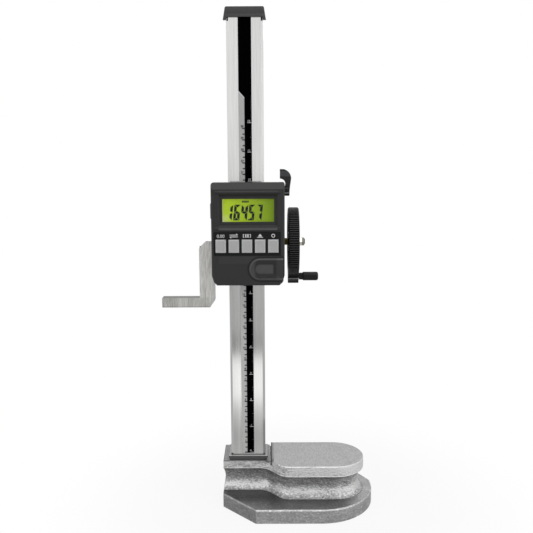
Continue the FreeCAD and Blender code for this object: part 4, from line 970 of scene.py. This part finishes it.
@dataclass
class SubAssembly:
    """Nodes of the frame with their finishes, and the meshes that a kind adds."""

    coats: Coats

    def build(self, finishes: Finishes) -> Pieces:
        """Make the meshes, none unless a kind has them."""
        return []

    def dress(self, frame: dict[str, Any], finishes: Finishes) -> int:
        """Give each node its finish.

        Args:
            frame: The loaded frame.
            finishes: Materials to take them from.

        Returns:
            How many nodes were dressed.
        """
        pairs = [(name, surface) for surface, names in self.coats.items() for name in names]
        for name, surface in pairs:
            finishes.dress(frame["nodes"][name], surface)
        return len(pairs)


@dataclass
class ScalePrint:
    """Graduations and plain numbers on the strip, in millimetres."""

    zero: float = 49.6
    reach: int = 300
    band_left: float = -0.75
    left: float = -5.8
    right: float = 5.6
    foot: float = 49.0
    head: float = 443.4
    step_low: float = 375.8
    step_high: float = 381.4
    ten_mark: float = 2.3
    five_mark: float = 1.9
    one_mark: float = 0.8
    thick: float = 0.48
    thin: float = 0.06
    number: float = 1.8
    number_gap: float = 0.9
    bold: float = 0.1
    inch: float = 25.4
    inch_mark: float = 3.9
    inch_half: float = 0.16
    inch_number: float = 1.9
    inch_middle: float = 2.6
    inch_rise: float = 0.5
    half_mark: float = 1.6
    tenth_mark: float = 0.9
    tenth_half: float = 0.05
    margin: float = 0.1
    arrow: tuple[Point, ...] = ((1.7, 1.4), (2.4, 2.4), (3.1, 1.4))
    arrow_width: float = 0.3
    slope_high: float = 381.2
    slope_low: float = 375.5
    slope_width: float = 0.55
    face: float = -10.8
    ink: float = 0.03

    def dark(self) -> Relief:
        """Black band, its millimetre marks and a number at each ten.

        Returns:
            The mesh.
        """
        relief = Relief((self.face - self.ink) * MM, self.face * MM)
        outline = [(self.band_left, self.foot), (self.right, self.foot), (self.right, self.head)]
        outline += [(self.left, self.head), (self.left, self.step_high), (self.band_left, self.step_low)]
        relief.shape(outline)
        for mark in range(self.reach + 1):
            level = self.zero + mark
            length = self.ten_mark if mark % 10 == 0 else self.five_mark if mark % 5 == 0 else self.one_mark
            half = self.thick if mark % 5 == 0 else self.thin
            relief.bar(self.band_left - length, self.band_left, level - half, level + half)
            if mark % 10 == 0 and mark:
                across, up = self.band_left - self.number_gap, level + self.number_gap
                relief.words(str(mark // 10), across, up, self.number, "RIGHT", self.bold)
        return relief

    def light(self) -> Relief:
        """Pale inch marks, their numbers, the sloping line above and the arrow at the foot.

        Returns:
            The mesh.
        """
        relief = Relief((self.face - 2.0 * self.ink) * MM, (self.face - self.ink) * MM)
        high, low = (self.left, self.slope_high), (self.band_left + self.margin, self.slope_low)
        relief.stroke(high, low, self.slope_width)
        edge = self.right - self.margin
        for mark in range(int(self.reach / self.inch) + 2):
            level = self.zero + mark * self.inch
            relief.bar(self.right - self.inch_mark, edge, level - self.inch_half, level + self.inch_half)
            if mark:
                across, up = self.right - self.inch_middle, level + self.inch_rise
                relief.words(str(mark), across, up, self.inch_number)
            for part in range(1, 10):
                start = self.right - (self.half_mark if part == 5 else self.tenth_mark)
                tenth = level + part * self.inch / 10.0
                relief.bar(start, edge, tenth - self.tenth_half, tenth + self.tenth_half)
        ends = [(across, self.zero + up) for across, up in self.arrow]
        for start, end in zip(ends, ends[1:]):
            relief.stroke(start, end, self.arrow_width)
        return relief

    def build(self, finishes: Finishes) -> Pieces:
        """Make the printed pieces with their inks."""
        return [
            self.dark().piece("scale_dark_print", "base", Surface.INK_BLACK, finishes),
            self.light().piece("scale_light_print", "base", Surface.INK_WHITE, finishes),
        ]


@dataclass
class Foundation(SubAssembly):
    """Base casting, column, collar, cap and everything fixed in them."""

    coats: Coats = field(
        default_factory=lambda: {
            Surface.IRON: ("base_casting",),
            Surface.STEEL: ("column",),
            Surface.COLLAR: ("foot_collar",),
            Surface.CAP: ("column_cap",),
            Surface.GEAR: ("rack",),
            Surface.SILVER: ("scale_strip",),
            Surface.SCREW: ("column_bolts", "rack_screws", "cap_screw"),
        }
    )
    scale: ScalePrint = field(default_factory=ScalePrint)

    def build(self, finishes: Finishes) -> Pieces:
        """Make the prints on the strip."""
        return self.scale.build(finishes)


@dataclass
class Reading:
    """Segments of the display, in millimetres."""

    digits: tuple[tuple[str, float, float], ...] = (
        ("1", -17.4, -12.2),
        ("6", -11.1, -5.6),
        ("4", -4.7, 0.95),
        ("5", 1.9, 7.1),
        ("7", 8.8, 13.7),
    )
    low: float = 270.2
    high: float = 283.8
    weight: float = 2.25
    bar: float = 2.2
    lean: float = 0.115
    gap: float = 0.18
    face: float = -25.8
    ink: float = 0.05
    inset: float = 0.4
    dot: Point = (1.9, 2.7)
    dot_height: float = 1.0
    ticks: tuple[float, ...] = (-3.0, -1.8, -0.6, 0.6, 1.8)
    tick_width: float = 0.95
    tick_rise: Point = (1.8, 3.4)

    segments = {"1": "bc", "6": "acdefg", "4": "bcfg", "5": "acdfg", "7": "abc"}

    def slanted(self, points: Iterable[Point]) -> list[Point]:
        """Points leaned to the right with their height."""
        return [(x + self.lean * (z - self.low), z) for x, z in points]

    def digit(self, relief: Relief, name: str, left: float, right: float) -> None:
        """Add one digit.

        Args:
            relief: Mesh that it is added to.
            name: The digit.
            left: Left edge of its cell, at its foot.
            right: Right edge of its cell, at its foot.
        """
        wide, bar, gap, half = self.weight, self.bar, self.gap, self.bar / 2.0
        low, high, middle = self.low, self.high, (self.low + self.high) / 2.0
        top, upper, lower, foot = high - gap, middle + gap, middle - gap, low + gap
        shapes = {
            "g": [
                (left + self.inset, middle),
                (left + wide, middle - half),
                (right - wide, middle - half),
                (right - self.inset, middle),
                (right - wide, middle + half),
                (left + wide, middle + half),
            ],
        }
        start, end = left + gap, right - gap
        for letter, edge, inner in (("a", high, high - bar), ("d", low, low + bar)):
            shapes[letter] = [(start, edge), (end, edge), (end - wide, inner), (start + wide, inner)]
        for letters, edge, inner in (("fe", left, left + wide), ("bc", right, right - wide)):
            shapes[letters[0]] = [(edge, top), (edge, upper), (inner, upper + half), (inner, top - bar)]
            shapes[letters[1]] = [(edge, lower), (edge, foot), (inner, foot + bar), (inner, lower - half)]
        for letter in self.segments[name]:
            relief.shape(self.slanted(shapes[letter]))

    def build(self, finishes: Finishes) -> Pieces:
        """Make the reading.

        Args:
            finishes: Materials to take the segments from.

        Returns:
            The pieces.
        """
        relief = Relief((self.face - self.ink) * MM, self.face * MM)
        for name, left, right in self.digits:
            self.digit(relief, name, left, right)
        relief.bar(*self.dot, self.low, self.low + self.dot_height)
        for start in self.ticks:
            low, high = (self.high + rise for rise in self.tick_rise)
            relief.bar(start, start + self.tick_width, low, high)
        return [relief.piece("display_reading", "slider", Surface.INK_LCD, finishes)]


@dataclass
class KeyMarks:
    """Plain signs over the keys, in millimetres."""

    first: float = -21.8
    pitch: float = 11.45
    level: float = 256.9
    face: float = -29.7
    ink: float = 0.03
    weight: float = 0.6
    digits: float = 2.9
    foot: float = -1.5
    head: float = 1.6
    ring: float = 1.35

    def build(self, finishes: Finishes) -> Pieces:
        """Make the signs.

        Args:
            finishes: Materials to take the ink from.

        Returns:
            The pieces.
        """
        relief = Relief((self.face - self.ink) * MM, self.face * MM)
        spots = [self.first + number * self.pitch for number in range(5)]
        up, wide = self.level, self.weight
        low, high = up + self.foot, up + self.head
        relief.words("0.00", spots[0], low, self.digits)
        for way in (-1.0, 1.0):
            x, line = spots[1], up + way * 0.8
            relief.stroke((x - 3.6, line), (x + 3.6, line), wide)
            relief.stroke((x + way * 3.6, line), (x + way * 2.2, up + way * 1.9), wide)
        for way in (-1.0, 1.0):
            block, post, arm = (spots[2] + way * shift for shift in (0.9, 3.1, 2.6))
            relief.bar(block - 0.5, block + 0.5, low, high)
            relief.bar(post - wide / 2, post + wide / 2, low, high)
            for foot in (low, high - wide):
                relief.bar(arm - wide / 2, arm + wide / 2, foot, foot + wide)
        x = spots[3]
        relief.shape([(x - 1.9, up - 0.6), (x + 1.9, up - 0.6), (x, up + 1.9)])
        relief.bar(x - 2.6, x + 2.6, up - 1.6, up - 1.1)
        relief.ring((spots[4], up + 0.1), self.ring, wide)
        return [relief.piece("key_signs", "slider", Surface.INK_WHITE, finishes)]


@dataclass
class Slider(SubAssembly):
    """Frame, jaw, display housing and keys."""

    coats: Coats = field(
        default_factory=lambda: {
            Surface.FRAME: ("slider_frame", "rear_cover", "reader_head"),
            Surface.JAW_STEEL: ("measuring_jaw",),
            Surface.GEAR: ("gib_strip", "clamp_shoe", "pinion", "clamp_screw"),
            Surface.BRASS: ("shaft_bush", "inner_bush"),
            Surface.SCREW: (
                "gib_screws", "rear_cover_screws", "jaw_screws", "housing_screws", "mount_screws",
            ),
            Surface.CASE: ("housing_front", "housing_back", "port_cover"),
            Surface.COVER: ("battery_cover",),
            Surface.WINDOW: ("display_window",),
            Surface.LCD: ("lcd_module",),
            Surface.BOARD: ("circuit_board", "key_switches"),
            Surface.PANEL: ("key_panel", "port_connector"),
            Surface.CELL: ("coin_cell", "battery_contacts"),
            Surface.KEY: ("key_1", "key_2", "key_3", "key_4", "key_5"),
        }
    )
    reading: Reading = field(default_factory=Reading)
    marks: KeyMarks = field(default_factory=KeyMarks)

    def build(self, finishes: Finishes) -> Pieces:
        """Make the reading and the signs over the keys."""
        return self.reading.build(finishes) + self.marks.build(finishes)


@dataclass
class Drive(SubAssembly):
    """Wheel, axle, grip and clamp lever."""

    coats: Coats = field(
        default_factory=lambda: {
            Surface.WHEEL: ("handwheel",),
            Surface.GRIP: ("crank_grip",),
            Surface.LEVER: ("clamp_lever",),
            Surface.SHAFT: ("pinion_shaft", "grip_pin"),
            Surface.CHROME: ("wheel_nut", "wheel_washer"),
        }
    )


@dataclass(frozen=True)
class Lamp:
    """Soft rectangular lamp, in metres and watts."""

    name: str
    place: Triple
    aim: Triple
    size: Point
    watts: float

    def build(self) -> bpy.types.Object:
        """Add the lamp, turned to the point that it faces.

        Returns:
            The lamp.
        """
        light = bpy.data.lights.new(self.name, "AREA")
        light.shape = "RECTANGLE"
        light.size, light.size_y = self.size
        light.energy = self.watts
        holder = added(self.name, light)
        holder.location = self.place
        holder.rotation_euler = (Vector(self.aim) - Vector(self.place)).to_track_quat("-Z", "Y").to_euler()
        return holder


@dataclass
class Studio:
    """Pale floor, white surround and soft lamps."""

    centre: Point = (0.047, -0.014)
    floor_radius: float = 6.0
    floor_level: float = -0.0002
    floor_tone: float = 0.82
    floor_sides: int = 64
    floor_seen: float = 0.88
    shadow_ends: Point = (0.09, 0.26)
    mirrored_share: float = 0.92
    ambient: float = 0.3
    heights: tuple[Point, ...] = ((0.0, 0.75), (0.2, 0.75), (0.42, 0.64), (0.6, 0.4), (0.8, 0.3), (1.0, 0.25))
    stretches: tuple[Point, ...] = (
        (0.0, 0.41), (0.33, 0.4), (0.41, 0.2), (0.49, 0.2), (0.515, 1.0), (0.69, 1.0), (0.75, 0.6),
        (0.83, 0.38), (1.0, 0.55),
    )
    lamps: tuple[Lamp, ...] = (
        Lamp("top_lamp", (0.1, -0.4, 1.35), (0.02, 0.0, 0.15), (1.5, 1.1), 7.0),
        Lamp("left_lamp", (-1.1, -0.8, 0.7), (0.0, 0.0, 0.2), (0.8, 1.2), 3.0),
        Lamp("right_lamp", (1.2, -0.6, 0.6), (0.02, 0.0, 0.2), (0.7, 1.2), 3.0),
        Lamp("back_lamp", (0.2, 1.2, 1.0), (0.0, 0.0, 0.2), (1.2, 0.8), 4.0),
    )

    def paint(self) -> bpy.types.Material:
        """Floor's material: white where it is seen, with a soft shadow near the base.

        Returns:
            The material.
        """
        paint = bpy.data.materials.new("floor")
        paint.use_nodes = True
        graph = Graph(paint.node_tree)
        x, y, _ = graph.axes()
        away = ((x - self.centre[0]) ** 2.0 + (y - self.centre[1]) ** 2.0) ** 0.5
        seen = self.floor_seen + (1.0 - self.floor_seen) * away.step(*self.shadow_ends)
        plain = graph.ray("Camera").highest(graph.ray("Transmission")) * seen
        tone = graph.ramp(y + 1.0, self.stretches)
        matt = graph.node("ShaderNodeBsdfDiffuse", None, {"Color": (self.floor_tone,) * 3})
        white = graph.node("ShaderNodeEmission")
        mirrored = graph.node("ShaderNodeEmission", None, {"Color": tone})
        first = graph.node("ShaderNodeMixShader", None, {0: plain, 1: matt, 2: white})
        share = graph.ray("Glossy") * self.mirrored_share
        last = graph.node("ShaderNodeMixShader", None, {0: share, 1: first, 2: mirrored})
        graph.node("ShaderNodeOutputMaterial", None, {"Surface": last})
        return paint

    def floor(self) -> None:
        """Make the round floor."""
        data = bpy.data.meshes.new("floor")
        turns = [math.tau * number / self.floor_sides for number in range(self.floor_sides)]
        reach = self.floor_radius
        rim = [(reach * math.cos(turn), reach * math.sin(turn), self.floor_level) for turn in turns]
        data.from_pydata(rim, [], [tuple(range(len(rim)))])
        piece = added("floor", data)
        data.materials.append(self.paint())

    def surround(self) -> None:
        """White where it is seen, graded where it is mirrored and softer as a light."""
        world = bpy.data.worlds.new("surround")
        world.use_nodes = True
        graph = Graph(world.node_tree)
        seen = graph.ray("Camera").highest(graph.ray("Transmission"))
        height = graph.axes("Generated")[2]
        lit = graph.blend(graph.ray("Glossy"), (self.ambient,) * 3, graph.ramp(height, self.heights))
        colour = graph.blend(seen, lit, (1.0, 1.0, 1.0))
        whole = graph.node("ShaderNodeBackground", None, {"Color": colour})
        graph.node("ShaderNodeOutputWorld", None, {"Surface": whole})
        bpy.context.scene.world = world

    def build(self) -> int:
        """Set up floor, surround and lamps.

        Returns:
            How many lamps there are.
        """
        self.floor()
        self.surround()
        return len([lamp.build() for lamp in self.lamps])


@dataclass
class Viewpoint:
    """Camera as the photograph was taken, angles in radians."""

    place: Triple = (0.02025, -0.62029, 0.32313)
    yaw: float = 0.0038
    pitch: float = 0.1565
    roll: float = -0.0047
    lens: float = 46.107
    sensor: float = 36.0
    clip: Point = (0.01, 20.0)

    def build(self) -> bpy.types.Object:
        """Make the camera and set it as the scene's.

        Returns:
            The camera.
        """
        east, north, level = math.cos(self.yaw), math.sin(self.yaw), math.cos(self.pitch)
        ahead = Vector((-north * level, east * level, -math.sin(self.pitch)))
        side = Vector((east, north, 0.0))
        over = side.cross(ahead)
        turned = math.cos(self.roll) * side + math.sin(self.roll) * over
        upward = -math.sin(self.roll) * side + math.cos(self.roll) * over
        data = bpy.data.cameras.new("viewpoint")
        data.lens = self.lens
        data.sensor_width = self.sensor
        data.clip_start, data.clip_end = self.clip
        holder = added("viewpoint", data)
        turn = Matrix((turned, upward, -ahead)).transposed().to_4x4()
        holder.matrix_world = Matrix.Translation(self.place) @ turn
        bpy.context.scene.camera = holder
        return holder


def main() -> None:
    """Load the frame, build and dress each sub-assembly, and set the studio up."""
    logging.basicConfig(level=logging.INFO, format="%(message)s")
    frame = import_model()
    finishes = Finishes()
    Viewpoint().build()
    for part in (Foundation(), Slider(), Drive()):
        for piece in part.build(finishes):
            LOG.info("%s: %d faces", piece.name, len(piece.data.polygons))
        LOG.info("%s: %d nodes dressed", type(part).__name__, part.dress(frame, finishes))
    LOG.info("studio: %d lamps", Studio().build())
    bpy.context.scene.view_settings.view_transform = "Standard"


if __name__ == "__main__":
    main()
